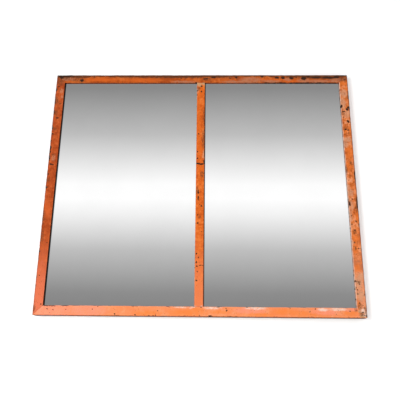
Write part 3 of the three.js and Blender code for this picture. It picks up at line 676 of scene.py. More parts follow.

# Each member's own paint and marks, their lengths in millimetres. An edge, with painted shade where a
# side faces right and down away from the light and a painted highlight where it faces the light, is its
# axis and place, how much lies there, and how far it reaches to the side and back. A mark is x, z and
# its reach along X and Z.
INNER_X = (HALF_WIDTH - FACE) / MM
INNER_Z = (HEIGHT - FACE) / MM
PAINTS = {
    "top_rail": dict(
        deep=(163, 67, 14), middle=(190, 85, 21), light=(208, 106, 43), foot=(250, 156, 112),
        vivid=(215, 97, 27), faded=(186, 124, 92), bleached=1.0, speckle=0.10,
        grime_edge=("Z", INNER_Z, 0.25, 0.6, 3),
        bright=(
            (-340, 778, 60, 6), (-200, 776, 50, 6), (300, 772, 22, 5), (262, 779, 30, 5),
            (210, 779, 20, 4)),
        pale=(
            (-452, 780, 22, 6), (-60, 770, 40, 4), (165, 776, 36, 11), (150, 770, 30, 5),
            (235, 772, 30, 5), (345, 774, 22, 7), (395, 772, 40, 5), (450, 776, 22, 8),
            (100, 770, 30, 4), (290, 778, 14, 5)),
        brown=(
            (-465, 786, 28, 12), (-418, 780, 22, 9), (-405, 774, 10, 6), (-30, 788, 70, 4),
            (-250, 789, 40, 4), (60, 788, 70, 4), (475, 780, 14, 12), (350, 788, 90, 5),
            (20, 779, 14, 6), (400, 784, 60, 5)),
        black=(
            (-479, 789, 15, 8), (-455, 793, 22, 4.4), (-403, 775, 6, 5), (254, 785, 8, 4),
            (275, 785, 6, 5), (303, 784, 8, 5), (344, 783, 9, 6.5), (360, 788, 5, 4),
            (385, 786, 20, 3.4), (425, 785, 22, 3.8), (452, 787, 12, 4), (478, 794, 16, 2.5),
            (-17, 764, 5, 4), (205, 789, 5, 3), (118, 786, 5, 3.4), (42, 786, 7, 3.4),
            # The last mark on the next line is painted shade along the lower edge of the rail's right
            # half.
            (96, 784, 3.4, 2.4), (15, 781, 8, 3), (330, 765.5, 150, 2.2)),
        heavy=((-440, 796, 70, 34), (-110, 796, 150, 44), (400, 796, 50, 8))),
    "left_stile": dict(
        deep=(160, 62, 18), middle=(183, 79, 30), light=(205, 97, 47), foot=(230, 119, 83),
        vivid=(210, 94, 39), faded=(196, 128, 92), bleached=0.95, speckle=0.08,
        grime_edge=("X", -INNER_X, 0.96, 0.8, 3), bright=((-477, 322, 10, 24),),
        pale=((-470, 735, 7, 9), (-467, 714, 5, 6), (-473, 494, 6, 10)),
        brown=(
            (-482, 655, 7, 10), (-484, 421, 5, 8), (-486, 300, 4, 26), (-484, 240, 5, 20),
            (-486, 20, 4, 10), (-484, 700, 7, 14), (-480, 596, 6, 6), (-470, 690, 5, 3),
            (-474, 506, 6, 3), (-476, 774, 14, 18)),
        black=(
            (-489, 658, 4, 8), (-474, 636, 4.4, 3), (-485, 578, 3.6, 3), (-488, 554, 3, 3),
            (-488, 530, 5, 9), (-487, 515, 3, 6), (-488, 495, 4, 10), (-480, 473, 4.4, 2.6),
            (-474, 472, 3.4, 2.4), (-478, 751, 3, 2.4), (-488, 740, 4, 7), (-489, 700, 3, 10),
            (-488, 191, 3, 4), (-488, 600, 3, 7), (-486, 395, 3.4, 4), (-485, 440, 2.4, 3)),
        heavy=((-490, 796, 40, 12),)),
    "right_stile": dict(
        deep=(168, 76, 26), middle=(224, 116, 48), light=(246, 160, 110), foot=(242, 160, 118),
        vivid=(234, 118, 42), faded=(216, 158, 122), bleached=0.7, speckle=0.30,
        grime_edge=("X", HALF_WIDTH / MM, 0.8, 1.6, 3), chalk_edge=("X", INNER_X, 0.9, 1.8, 3),
        chalk=((486, 12, 4, 8), (478, 22, 4, 5)),
        bright=(
            (476, 765, 14, 8), (468, 596, 14, 9), (477, 516, 11, 26), (470, 470, 11, 14),
            (484, 307, 5, 20), (471, 206, 9, 18), (472, 146, 10, 14), (466, 40, 5, 16),
            (474, 260, 9, 8), (474, 234, 10, 14), (484, 735, 5, 16)),
        pale=(
            (467, 787, 14, 8), (473, 727, 12, 14), (468, 690, 9, 22), (478, 650, 10, 14),
            (474, 561, 15, 9), (467, 543, 8, 10), (464, 400, 5, 10), (469, 340, 7, 16),
            (464, 307, 5, 20), (472, 104, 10, 20), (474, 66, 10, 16), (470, 380, 9, 12),
            (478, 120, 9, 12), (464, 224, 4, 10), (476, 20, 10, 10)),
        brown=(
            (463, 458, 3, 14), (464, 352, 3, 12), (472, 256, 5, 8), (486, 360, 3, 10), (471, 206, 3, 6),
            (471, 104, 5, 5), (470, 600, 8, 5), (466, 655, 5, 9), (484, 330, 4, 12), (476, 780, 12, 10),
            (486, 20, 4, 10), (470, 34, 6, 8), (478, 480, 4, 6)),
        black=(
            (463, 679, 3.6, 5), (480, 668, 5, 5), (484, 675, 4, 4), (466, 661, 3, 2.6),
            (470, 660, 2.6, 2.6), (480, 625, 4, 5), (470, 596, 3.6, 2.6), (478, 594, 2.6, 2.6),
            (463, 107, 2.4, 2.4), (463, 88, 2, 2.4), (488, 440, 3, 18), (488, 350, 3, 22),
            (463, 345, 2.4, 7), (476, 17, 2.4, 2.4), (486, 7, 2.4, 3.4), (474, 98, 2, 2),
            (469, 44, 2, 2), (482, 30, 2, 2), (466, 640, 2.4, 2.4), (470, 224, 2.4, 2.4),
            (474, 262, 2.4, 2.4), (466, 280, 2.4, 2.4), (480, 290, 2.4, 2.4), (488, 720, 2.4, 14)),
        primer=((480, 5, 9, 6), (466, 14, 5, 5)), heavy=((490, 796, 40, 10),)),
    "centre_glazing_bar": dict(
        deep=(198, 85, 16), middle=(220, 102, 28), light=(238, 126, 54), foot=(246, 136, 86),
        vivid=(226, 104, 26), faded=(214, 150, 110), bleached=0.8, speckle=0.06,
        grime_edge=("X", TEE_FACE / 2 / MM, 0.85, 1.8, 3),
        chalk_edge=("X", -TEE_FACE / 2 / MM, 0.25, 0.6, 3),
        chalk=((-10, 31.5, 5, 1.6), (8, 31.5, 4, 1.4)),
        bright=((0, 735, 12, 18), (-8, 600, 4, 90), (0, 530, 12, 16), (4, 455, 9, 30)),
        pale=((-11, 738, 3, 9), (10, 507, 4, 14)),
        brown=(
            (12, 552, 4, 30), (-8, 745, 5, 6), (12, 560, 3, 18), (11, 640, 3, 30), (0, 300, 4, 4),
            (5, 440, 5, 12), (-8, 388, 4, 12), (9, 560, 5, 30)),
        black=(
            (1, 753, 4, 3), (2, 734, 2.6, 3.6), (-11, 737, 2.4, 2.4), (-7, 477, 7.6, 3.4),
            (4, 475, 8.6, 3), (13, 482, 3, 8), (-9, 517, 2.2, 2.4), (-9, 495, 2.6, 2.6),
            (13.4, 587, 2, 7), (-5, 382, 2, 6), (-5, 362, 2, 7), (5, 336, 2.6, 2.6),
            (-7, 281, 2.6, 2.6), (-9, 187, 2.2, 2.6), (-3, 175, 2.4, 2.4), (-8, 148, 2.6, 2.6),
            (-5, 132, 2, 2), (-8, 106, 2.6, 2.6), (2, 151, 5, 1.3), (11, 151, 4, 1.3),
            (13.6, 512, 2, 10), (-10, 160, 2, 2.4)),
        primer=((-8, 762, 9, 6), (8, 763, 8, 5), (-4, 755, 6, 4))),
    "bottom_rail": dict(
        deep=(250, 132, 66), middle=(250, 142, 78), light=(250, 164, 112), foot=(250, 154, 116),
        vivid=(250, 135, 59), faded=(255, 152, 124), bleached=0.35, speckle=0.05,
        grime_edge=("Z", 0.0, 0.9, 0.7, 33), chalk_edge=("Z", FACE / MM, 0.35, 0.6, 3),
        chalk=(
            (-52, 27, 20, 2), (-24, 25, 5, 2), (40, 26, 24, 3), (165, 26, 30, 3.4), (362, 24, 14, 4),
            (406, 25, 24, 4), (482, 12, 6, 8), (476, 20, 5, 5), (-18, 27.5, 6, 2), (-448, 29, 16, 1.2),
            (-395, 29.4, 16, 0.8)),
        bright=(
            (-30, 12, 60, 9), (-150, 10, 40, 7), (250, 16, 40, 8), (310, 12, 60, 7), (-8, 20, 24, 8),
            (60, 14, 26, 6), (180, 8, 40, 5), (440, 16, 22, 9)),
        pale=(
            (-430, 15, 70, 20), (-330, 16, 60, 18), (366, 18, 40, 9), (150, 20, 44, 8),
            (440, 24, 20, 5)),
        brown=((458, 24, 4, 5), (-438, 28, 18, 1.6), (476, 14, 8, 8)),
        black=(
            (-448, 20, 2, 1.6), (-429, 17, 2, 1.6), (-391, 18, 1.6, 1.4), (-314, 20, 1.6, 1.4),
            (-297, 27, 1.6, 1.4), (-120, 16, 1.6, 1.4), (34, 3, 6, 1.8), (82, 19, 2.4, 2.4),
            (-442, 28.5, 22, 1.2), (-190, 29, 10, 1), (60, 29, 8, 1), (-90, 28.5, 6, 1),
            (140, 29, 4, 1), (-146, 3, 2, 1.6), (324, 18, 1.6, 1.6), (482, 9, 2.4, 2.4),
            (474, 20, 2, 2), (2, 4, 2, 1.4), (-395, 28.8, 12, 1)),
        primer=((478, 8, 10, 6), (468, 20, 5, 5))),
}


def along_edge(parts, edge):
    """A mask along one long edge of a member, over its arris and the wall behind it."""
    axis, where, amount, reach, back = edge
    off = size_of(minus(parts[axis], where * MM))
    deep = minus(parts["Y"], FRONT)
    near = times(
        ease(off, (reach + EDGE_FADE) * MM, reach * MM), ease(deep, (back + BACK_FADE) * MM, back * MM))
    return times(near, amount)


def along_bar(place, turn):
    """The place turned about Y, so that its X runs along the bar."""
    return add_node(place.id_data, "Mapping", {"Vector": place, "Rotation": (0, turn, 0)}).outputs[0]


def enamelled(name, turn, look):
    """Enamelled steel whose brush streaks follow the bar after this turn about Y."""
    material, surface, place = new_material(name)
    parts = parts_of(place)
    frayed, crisp = (
        place_group(frayed_place, {"Vector": place, "Coarse": coarse * MM, "Fine": fine * MM})["Vector"]
        for coarse, fine in (FRAYED, CRISP))
    inputs = {"Vector": place, "Frayed": frayed, "Grain": along_bar(place, turn)}
    for label in ("Deep", "Middle", "Light", "Foot", "Faded", "Vivid"):
        inputs[label] = shade(*look[label.lower()])
    for label in ("Bleached", "Speckle"):
        inputs[label] = look[label.lower()]
    for label, vector, soft in (
            ("Bright", frayed, 0.6), ("Pale", frayed, 0.4), ("Brown", frayed, 0.6),
            ("Heavy", frayed, 0.8), ("Black", crisp, 0.25), ("Primer", crisp, 0.25),
            ("Chalk", crisp, 0.5)):
        inputs[label] = spots(vector, look.get(label.lower(), ()), soft)
    inputs["Grime"] = along_edge(parts, look["grime_edge"])
    if "chalk_edge" in look:
        inputs["Chalk"] = greatest(along_edge(parts, look["chalk_edge"]), inputs["Chalk"])
    coat = place_group(enamel, inputs)
    connect(surface, coat["Colour"], coat["Roughness"], coat["Height"], 0.28 * MM)
    surface.inputs["Specular IOR Level"].default_value = 0.15
    return material


for node_name, steel in members.items():
    turn = 0 if node_name.endswith("rail") else math.pi / 2
    coating = enamelled("orange enamel, " + node_name, turn, PAINTS[node_name])
    hand_over(steel, node_name, "orange_paint", coating)

# ---------------------------------------------------------------- the glazing tape
# A ring of thin black foam tape stuck to the back of each light's flanges. It seals the glass against
# the steel and stops it rattling.

TAPE_WIDTH = 6 * MM
TAPE_EASING = 0.12 * MM

black_foam, surface, place = new_material("black foam tape")
cells = noise(place, 1600.0, 3.0, 0.7)
connect(
    surface, colour_ramp(cells, (0.35, grey(16)), (0.65, grey(34))), ease(cells, 0.3, 0.7, 0.75, 0.95),
    cells, 0.08 * MM)

for light in ("left", "right"):
    node_name = light + "_glazing_tape"
    tape = block(node_name + "_ring", *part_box(node_name))
    edit()
    select("faces", lambda face: abs(face.normal.y) > 0.9)
    bpy.ops.mesh.inset(thickness=TAPE_WIDTH, use_individual=True)
    bpy.ops.mesh.bridge_edge_loops()
    bevel_all(TAPE_EASING, 2)
    leave_edit()
    hand_over(tape, node_name, "glazing_tape", black_foam)

# ---------------------------------------------------------------- the setting blocks
# Short rubber blocks on the bottom rail's leg. The glass and its backing board stand on them, and
# their lower front edge is cut to clear the rolled root of the angle.

block_rubber, surface, place = new_material("black setting block rubber")
bloom = noise(place, 240.0, 4.0, 0.65)
connect(
    surface, colour_ramp(bloom, (0.35, grey(30)), (0.7, grey(58))), ease(bloom, 0.3, 0.7, 0.6, 0.85),
    noise(place, 2600.0, 2.0), 0.05 * MM)

CHAMFER_REACH = 2.0 * MM
CHAMFER_RISE = 1.33 * MM
BLOCK_EASING = 0.2 * MM
for light in ("left", "right"):
    for end in ("left", "right"):
        node_name = light + "_setting_block_" + end
        low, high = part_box(node_name)
        pad = block(node_name + "_rubber", low, high)
        edit()
        slice_at((low.x, low.y + CHAMFER_REACH, low.z), (0, -CHAMFER_RISE, -CHAMFER_REACH), clear=True)
        bevel_all(BLOCK_EASING, 2)
        leave_edit()
        smooth_by_angle(pad, 50)
        hand_over(pad, node_name, "block_rubber", block_rubber)

# ---------------------------------------------------------------- the two mirror panes
# Sheets of 4 mm float glass, silvered and backed with grey paint, their edges ground by hand. They
# stand on the rubber blocks behind the flanges.

GLASS_ARRIS = 0.6 * MM
# Along the left edge of each pane the silver is painted near black, as painted shade beside the rebate:
# each rim is its place across and its width.
PAINTED_SHADE_RIMS = ((FACE - HALF_WIDTH, 4.0 * MM), (TEE_FACE / 2, 1.5 * MM))

silvering, surface, place = new_material("silvered glass")
haze = ease(noise(place, 6.0, 5.0), 0.4, 0.62)
across = parts_of(place)["X"]
tarnish_and_shade = 0.0
for where, width in PAINTED_SHADE_RIMS:
    tarnish_and_shade = greatest(tarnish_and_shade, ease(size_of(minus(across, where)), width, 0.7 * width))
silver = mix_colours(haze, (0.935, 0.935, 0.935, 1), (0.92, 0.92, 0.92, 1))
# Painted shade: the silver turns near black along the rims.
silver = mix_colours(times(tarnish_and_shade, 0.93), silver, (0.02, 0.015, 0.012, 1))
connect(surface, silver, ease(haze, 0.0, 1.0, 0.004, 0.016))
surface.inputs["Metallic"].default_value = 1.0

glass_edge, surface, place = new_material("ground glass edge")
grinding = noise(stretch(place, (60, 1500, 60)), 1.0)
connect(
    surface, colour_ramp(grinding, (0.3, shade(70, 110, 98)), (0.7, shade(150, 185, 172))),
    ease(grinding, 0.3, 0.7, 0.2, 0.5))

backing_paint, surface, place = new_material("grey backing paint")
sweeps = noise(stretch(place, (3, 3, 90)), 1.0)
connect(
    surface, colour_ramp(sweeps, (0.35, shade(104, 110, 114)), (0.65, shade(128, 133, 136))),
    ease(sweeps, 0.3, 0.7, 0.5, 0.62))

for light in ("left", "right"):
    node_name = light + "_mirror_pane"
    pane = block(node_name + "_glass", *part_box(node_name))
    edit()
    bevel_all(GLASS_ARRIS, 3)
    leave_edit()
    hand_over(pane, node_name, "mirror_glass", silvering, glass_edge, backing_paint)
    for face in pane.data.polygons:
        face.material_index = 0 if face.normal.y < -0.99 else 2 if face.normal.y > 0.99 else 1

# ---------------------------------------------------------------- the backing boards
# A sheet of 3 mm hardboard behind each pane, its smooth face to the glass. The back keeps the
# pattern of the wire screen that the board was pressed on.

BOARD_EASING = 0.35 * MM

fibre, taken, given = new_group(
    "pressed fibre", {"Vector": "Vector"}, {"Color": "Colour", "Float": "Height"})
flakes = noise(taken["Vector"], 140.0, 6.0, 0.7)
hairs = noise(stretch(taken["Vector"], (700, 700, 180)), 1.0, 3.0, 0.6)
share = plus(times(flakes, 0.6), times(hairs, 0.4))
give(given["Colour"], colour_ramp(
    share, (0.38, shade(92, 64, 42)), (0.5, shade(108, 77, 51)), (0.62, shade(124, 90, 61))))
give(given["Height"], share)

hardboard_face, surface, place = new_material("hardboard face and edge")
pressed = place_group(fibre, {"Vector": place})
connect(
    surface, pressed["Colour"], ease(pressed["Height"], 0.4, 0.6, 0.5, 0.7), pressed["Height"],
    0.1 * MM)

hardboard_back, surface, place = new_material("hardboard screen back")
pressed = place_group(fibre, {"Vector": place})
SCREEN_PITCH = 1.6 * MM
parts = parts_of(place)
screen = 0.0
for axis in ("X", "Z"):
    wave = sine(times(parts[axis], 2 * math.pi / SCREEN_PITCH))
    screen = greatest(screen, wave)
screened = mix_colours(ease(screen, 0.2, 1.0, 0.35, 0.0), pressed["Colour"], shade(58, 38, 26))
height = plus(times(screen, 0.6), times(pressed["Height"], 0.6))
connect(surface, screened, ease(screen, 0.0, 1.0, 0.9, 0.75), height, 0.25 * MM)

for light in ("left", "right"):
    node_name = light + "_backing_board"
    board = block(node_name + "_sheet", *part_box(node_name))
    edit()
    bevel_all(BOARD_EASING, 2)
    leave_edit()
    hand_over(board, node_name, "hardboard", hardboard_face, hardboard_back)
    for face in board.data.polygons:
        face.material_index = 1 if face.normal.y > 0.99 else 0

# ---------------------------------------------------------------- the pine battens
# Four planed pine strips in each light, which clamp the board and the glass against the flanges.
# Their long edges are eased, and they are bored for the screws that hold them.

BATTEN_EASING = 1.2 * MM
PLANING_DEPTH = 0.18 * MM
PLANING = cloud_texture("planing", 45 * MM, 2)

wood, taken, given = new_group(
    "planed pine", {"Vector": "Vector"}, {"Color": "Colour", "Float": "Roughness Height"})
bent = place_maths(
    "ADD", stretch(taken["Vector"], (0.16, 1, 1)),
    stretch(noise(stretch(taken["Vector"], (2.5, 9, 9)), 1.0, 3.0, 0.5, 1), (0, 0.05, 0.05)))
knots = add_node(wood, "TexVoronoi", {"Vector": stretch(taken["Vector"], (5, 18, 18)), "Scale": 1.0})
knot = ease(knots.outputs["Distance"], 0.30, 0.10)
growth = {"Vector": bent, "Scale": 75.0, "Distortion": 2.2, "Detail": 3.0, "Detail Scale": 1.2}
rings = add_node(wood, "TexWave", growth, wave_type="RINGS", rings_direction="X").outputs[1]
pores = noise(stretch(taken["Vector"], (35, 1500, 1500)), 1.0, 3.0, 0.6)
timber = colour_ramp(
    rings, (0.15, shade(226, 196, 148)), (0.6, shade(212, 174, 120)), (0.92, shade(184, 138, 86)))
timber = mix_colours(ease(pores, 0.42, 0.62, 0.0, 0.4), timber, shade(150, 106, 62))
timber = mix_colours(times(knot, 0.75), timber, shade(110, 66, 36))
aged = ease(noise(taken["Vector"], 30.0, 5.0), 0.42, 0.64, 0.0, 0.4)
give(given["Colour"], mix_colours(aged, timber, shade(150, 116, 78)))
give(given["Roughness"], ease(rings, 0.0, 1.0, 0.72, 0.55))
give(given["Height"], plus(times(rings, 0.25), times(pores, 0.6)))


def pine(name, turn):
    """Pine whose grain follows the batten after this turn about Y."""
    material, surface, place = new_material(name)
    planed = place_group(wood, {"Vector": along_bar(place, turn)})
    connect(surface, planed["Colour"], planed["Roughness"], planed["Height"], 0.12 * MM)
    surface.inputs["Specular IOR Level"].default_value = 0.3
    return material


level_pine = pine("pine along the rails", 0)
upright_pine = pine("pine along the stiles", math.pi / 2)


def boxes_meet(first, second):
    (low, high), (other_low, other_high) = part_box(first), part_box(second)
    return all(low[i] < other_high[i] and other_low[i] < high[i] for i in range(3))


PILOT_RADIUS = 1.82 * MM
all_screws = [name for name in frame["nodes"] if "_screw" in name]
for light in ("left", "right"):
    for edge_name, turn in TO_LOCAL_X.items():
        node_name = light + "_" + edge_name + "_batten"
        low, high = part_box(node_name)
        middle = (low + high) / 2
        upright = edge_name in ("left", "right")
        length = (high.z - low.z) if upright else (high.x - low.x)
        wide = (high.x - low.x) if upright else (high.z - low.z)
        deep = high.y - low.y
        strip = block(
            node_name + "_strip", (-length / 2, -deep / 2, -wide / 2), (length / 2, deep / 2, wide / 2))
        edit()
        for y in (-deep / 2, deep / 2):
            for z in (-wide / 2, wide / 2):
                round_edge(y, z, BATTEN_EASING, 4)
        cut_lengthwise(8 * MM, (60,))
        leave_edit()
        settle(strip, middle, Matrix.Rotation(turn, 4, "Y"))
        wear_down(strip, PLANING, PLANING_DEPTH, "")
        rooms = []
        for name in all_screws:
            if not boxes_meet(node_name, name):
                continue
            if "hanger" in name:
                head, way, run = screw_run(name)
                pilot = turned("pilot", 20, [(-run, PILOT_RADIUS), (STEEL, PILOT_RADIUS)])
                rooms.append(settle(pilot, head, aimed(way)))
            else:
                rooms.append(screw_room(name))
        cut_away(strip, rooms)
        smooth_by_angle(strip, 30)
        hand_over(strip, node_name, "pine", upright_pine if upright else level_pine)

# ---------------------------------------------------------------- the steel screws
# Slotted countersunk wood screws, zinc plated. Fourteen go through the rails and stiles into the
# battens, and three longer ones pass through the glazing bar's stem from one batten to the other.

SLOT_WIDTH = 1.0 * MM
SLOT_DEPTH = 1.1 * MM
POINT_LENGTH = 3 * MM
THREAD_PITCH = 1.6 * MM
THREAD_DEPTH = 0.28
SHANK_SHARE = 0.35

zinc, surface, place = new_material("dull zinc plating")
spangle = noise(place, 420.0, 4.0, 0.65)
tarnish_and_shade = ease(noise(place, 110.0, 5.0, 0.6), 0.48, 0.66)
plating = colour_ramp(spangle, (0.35, shade(150, 150, 146)), (0.65, shade(196, 197, 194)))
plating = mix_colours(times(tarnish_and_shade, 0.55), plating, shade(138, 124, 98))
connect(
    surface, plating, plus(ease(spangle, 0.35, 0.65, 0.28, 0.42), times(tarnish_and_shade, 0.2)),
    noise(place, 1900.0, 2.0), 0.04 * MM)
surface.inputs["Metallic"].default_value = 1.0


def cut_thread(screw, start, end, radius):
    """Sinks a helical groove into the shank between two heights."""
    for vertex in screw.data.vertices:
        x, y, z = vertex.co
        if not end < z < start or math.hypot(x, y) > radius + NEAR:
            continue
        phase = (z / THREAD_PITCH - math.atan2(y, x) / (2 * math.pi)) % 1.0
        depth = THREAD_DEPTH * (1 - abs(2 * phase - 1)) * min(1.0, (start - z) / THREAD_PITCH)
        vertex.co.x *= 1 - depth
        vertex.co.y *= 1 - depth


def shank_stations(low, high, radius):
    """Stations every sixth of the thread's pitch, so that the groove has vertices to sink."""
    count = math.ceil((high - low) / (THREAD_PITCH / 6))
    return [(low + (high - low) * i / count, radius) for i in range(count + 1)]


def slotted_screw(name, length, radius, thread_top, head, slot):
    """A screw below its head, whose stations start with the top of the shank, with a slot cut in it."""
    screw = turned(name, 24, [
        (-length, 0.0), *shank_stations(-length + POINT_LENGTH, thread_top, radius), *head])
    cut_thread(screw, thread_top, -length + NEAR, radius)
    width, depth, reach = slot
    groove = block("slot", (-2 * reach, -width / 2, -depth), (2 * reach, width / 2, depth))
    roll = Matrix.Rotation(chance.uniform(0, math.pi), 4, "Z")
    cut_away(screw, [settle(groove, (0, 0, 0), roll)])
    return screw


def wood_screw(name, length):
    neck = -HEAD_EDGE - (HEAD_RADIUS - SCREW_RADIUS)
    thread_top = neck - SHANK_SHARE * (length + neck)
    head = [(neck, SCREW_RADIUS), *((height, HEAD_RADIUS - short) for height, short in HEAD_RIM)]
    return slotted_screw(
        name, length, SCREW_RADIUS, thread_top, head, (SLOT_WIDTH, SLOT_DEPTH, HEAD_RADIUS))


for node_name in all_screws:
    if "hanger" in node_name:
        continue
    head, way, length = screw_run(node_name)
    screw = settle(wood_screw(node_name + "_plated", length), head, aimed(way))
    smooth_by_angle(screw, 40)
    hand_over(screw, node_name, "zinc_steel", zinc)

# ---------------------------------------------------------------- the strap hangers
# A strip of 1 mm plated steel on each outer batten, its top end rolled round the bar of a D-ring and
# its foot cut round. Two domed screws hold it, and the ring swings up to catch the wall hook.

STRAP_THICKNESS = 1 * MM
STRAP_CURL = 300
STRAP_ARRIS = 0.15 * MM
HOLE_RADIUS = 1.9 * MM
WIRE_RADIUS = 1.3 * MM
RING_CORNER = 3 * MM
DOME_RADIUS = 3.3 * MM
DOME_HEIGHT = 1.9 * MM
DOME_SHANK = 1.6 * MM
DOME_SLOT = 0.9 * MM
DOME_NECK = 1.2 * MM
FOOT_FLAT = 0.1 * MM


def rolled_strap(name, low, high):
    """The strap in the frame of its pivot: flat below, rolled round the X axis above."""
    outer = (high.y - low.y) / 2
    half = (high.x - low.x) / 2
    length = high.z - low.z - outer
    strap = block(name, (-half, -outer, -length), (half, -outer + STRAP_THICKNESS, 0))
    edit()
    select("faces", lambda face: face.normal.z > 0.9)
    bpy.ops.mesh.spin(steps=36, angle=math.radians(STRAP_CURL), center=(0, 0, 0), axis=(1, 0, 0))
    def at_foot_corner(edge):
        first, second = (v.co for v in edge.verts)
        low_down = all(v.co.z < NEAR - length for v in edge.verts)
        return low_down and abs(first.x - second.x) < NEAR and abs(abs(first.x) - half) < NEAR
    select("edges", at_foot_corner)
    bpy.ops.mesh.bevel(offset=half - FOOT_FLAT, segments=12, affect="EDGES")
    bpy.ops.mesh.select_all(action="SELECT")
    bpy.ops.mesh.normals_make_consistent(inside=False)
    leave_edit()
    return strap


def hanger_ring(name, low, high):
    """The D-ring in the frame of its pivot: a straight bar on the X axis and a round bow below."""
    half = (high.x - low.x) / 2 - WIRE_RADIUS
    drop = high.z - low.z - 2 * WIRE_RADIUS
    bar_half = half - RING_CORNER
    straight = drop - RING_CORNER - half
    bpy.ops.mesh.primitive_circle_add(
        vertices=20, radius=WIRE_RADIUS, fill_type="NGON", rotation=(0, math.pi / 2, 0))
    ring = name_it(bpy.context.object, name)
    bpy.ops.object.transform_apply()
    edit()
    bpy.ops.mesh.select_all(action="SELECT")
    turn = dict(axis=(0, -1, 0))
    extrude(x=bar_half)
    bpy.ops.mesh.spin(steps=8, angle=math.pi / 2, center=(bar_half, 0, -RING_CORNER), **turn)
    extrude(z=-straight)
    bpy.ops.mesh.spin(steps=32, angle=math.pi, center=(0, 0, -RING_CORNER - straight), **turn)
    extrude(z=straight)
    bpy.ops.mesh.spin(steps=8, angle=math.pi / 2, center=(-bar_half, 0, -RING_CORNER), **turn)
    extrude(x=bar_half)
    bpy.ops.mesh.delete(type="ONLY_FACE")
    select("faces", lambda face: len(face.verts) > 4)
    bpy.ops.mesh.delete(type="ONLY_FACE")
    bpy.ops.mesh.select_all(action="SELECT")
    bpy.ops.mesh.remove_doubles(threshold=1e-6)
    bpy.ops.mesh.normals_make_consistent(inside=False)
    leave_edit()
    return ring


def arc(foot, inside, rise, reach, step, count):
    """Stations up a quarter of an oval, every so many degrees, from its widest place."""
    angles = [math.radians(step * i) for i in range(count)]
    return [(foot + rise * math.sin(angle), inside + reach * math.cos(angle)) for angle in angles]


def domed_screw(name, length):
    under = -DOME_HEIGHT
    head = [(under, DOME_SHANK), *arc(under, 0, DOME_HEIGHT, DOME_RADIUS, 12, 8)]
    return slotted_screw(
        name, length, DOME_SHANK, under - DOME_NECK, head, (DOME_SLOT, DOME_SLOT, DOME_RADIUS))


for light in ("left", "right"):
    joint = next(joint for joint in frame["joints"] if joint["name"] == light + "_ring_swing")
    pivot = Vector(joint["pos_m"])
    node_name = light + "_hanger_strap"
    strap = settle(rolled_strap(node_name + "_plated", *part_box(node_name)), pivot)
    holes = []
    for name in all_screws:
        if name.startswith(light + "_hanger"):
            head, way, length = screw_run(name)
            hole = turned("hole", 32, [(-length, HOLE_RADIUS), (0, HOLE_RADIUS)])
            holes.append(settle(hole, head, aimed(way)))
            screw = settle(domed_screw(name + "_plated", length), head, aimed(way))
            smooth_by_angle(screw, 40)
            hand_over(screw, name, "zinc_steel", zinc)
    cut_away(strap, holes)
    apply_modifier(
        strap, "BEVEL", width=STRAP_ARRIS, segments=2, limit_method="ANGLE",
        angle_limit=math.radians(50))
    smooth_by_angle(strap, 40)
    hand_over(strap, node_name, "zinc_steel", zinc)
    node_name = light + "_hanger_ring"
    ring = settle(hanger_ring(node_name + "_wire", *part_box(node_name)), pivot)
    smooth_by_angle(ring, 60)
    hand_over(ring, node_name, "zinc_steel", zinc, body=light + "_ring")

# ---------------------------------------------------------------- the wall bumpers
# Two moulded rubber buttons on the bottom battens. They hold the foot of the mirror off the wall, so
# that it hangs true and doesn't mark the plaster.

BUMPER_DRAFT = 0.8 * MM
BUMPER_EDGE = 1.2 * MM
BUMPER_DISH = 0.35 * MM
BUMPER_TOE = 0.2 * MM

bumper_rubber, surface, place = new_material("moulded bumper rubber")
bloom = noise(place, 180.0, 5.0, 0.65)
connect(
    surface, colour_ramp(bloom, (0.35, grey(32)), (0.7, grey(64))), ease(bloom, 0.3, 0.7, 0.55, 0.8),
    noise(place, 2400.0, 2.0), 0.05 * MM)

for light in ("left", "right"):
    node_name = light + "_wall_bumper"
    low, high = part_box(node_name)
    tall = high.y - low.y
    foot_radius = (high.x - low.x) / 2
    rim = foot_radius - BUMPER_DRAFT
    edge_foot = tall - BUMPER_EDGE
    stations = [
        (0, foot_radius - BUMPER_TOE), (BUMPER_TOE, foot_radius),
        *arc(edge_foot, rim - BUMPER_EDGE, BUMPER_EDGE, BUMPER_EDGE, 15, 7),
        (tall - BUMPER_DISH / 2, rim * 0.62), (tall - BUMPER_DISH, rim * 0.35),
        (tall - BUMPER_DISH, rim * 0.05)]
    button = turned(node_name + "_rubber", 40, stations)
    settle(button, ((low.x + high.x) / 2, low.y, (low.z + high.z) / 2), aimed(Vector((0, -1, 0))))
    smooth_by_angle(button, 40)
    hand_over(button, node_name, "bumper_rubber", bumper_rubber)

# ---------------------------------------------------------------- the stage
# A pale floor and a white wall, soft light from the left, and the room that the mirror reflects.

FLOOR_DROP = 1.0
FLOOR_REACH = 6.0
WALL_TALL = 4.0
WALL_GAP = 0.4 * MM
WALL_GLOW = 0.28
FLOOR_GLOW = 0.47
FRONT_LIGHT = 0.56


def blend(share, first, second):
    """The first shader where the share is 0 and the second where it is 1."""
    return add_node(tree_of(share), "MixShader", {0: share, 1: first, 2: second}).outputs[0]


def plaster(name, glow, one_sided):
    """A pale matt surface that shows white to the camera and keeps the object's shadow."""
    material, surface, place = new_material(name)
    tree = material.node_tree
    surface.inputs["Base Color"].default_value = (0.8, 0.8, 0.8, 1)
    surface.inputs["Roughness"].default_value = 0.9
    surface.inputs["Specular IOR Level"].default_value = 0.0
    rays = add_node(tree, "LightPath").outputs
    seen = greatest(rays["Is Camera Ray"], greatest(rays["Is Glossy Ray"], rays["Is Transmission Ray"]))
    glowing = add_node(tree, "Emission", {"Strength": times(seen, glow)})
    result = add_node(tree, "AddShader", {0: surface.outputs[0], 1: glowing.outputs[0]}).outputs[0]
    if one_sided:
        behind = add_node(tree, "NewGeometry").outputs["Backfacing"]
        clear = add_node(tree, "BsdfTransparent").outputs[0]
        result = blend(behind, result, clear)
    tree.links.new(result, tree.nodes["Material Output"].inputs["Surface"])
    return material


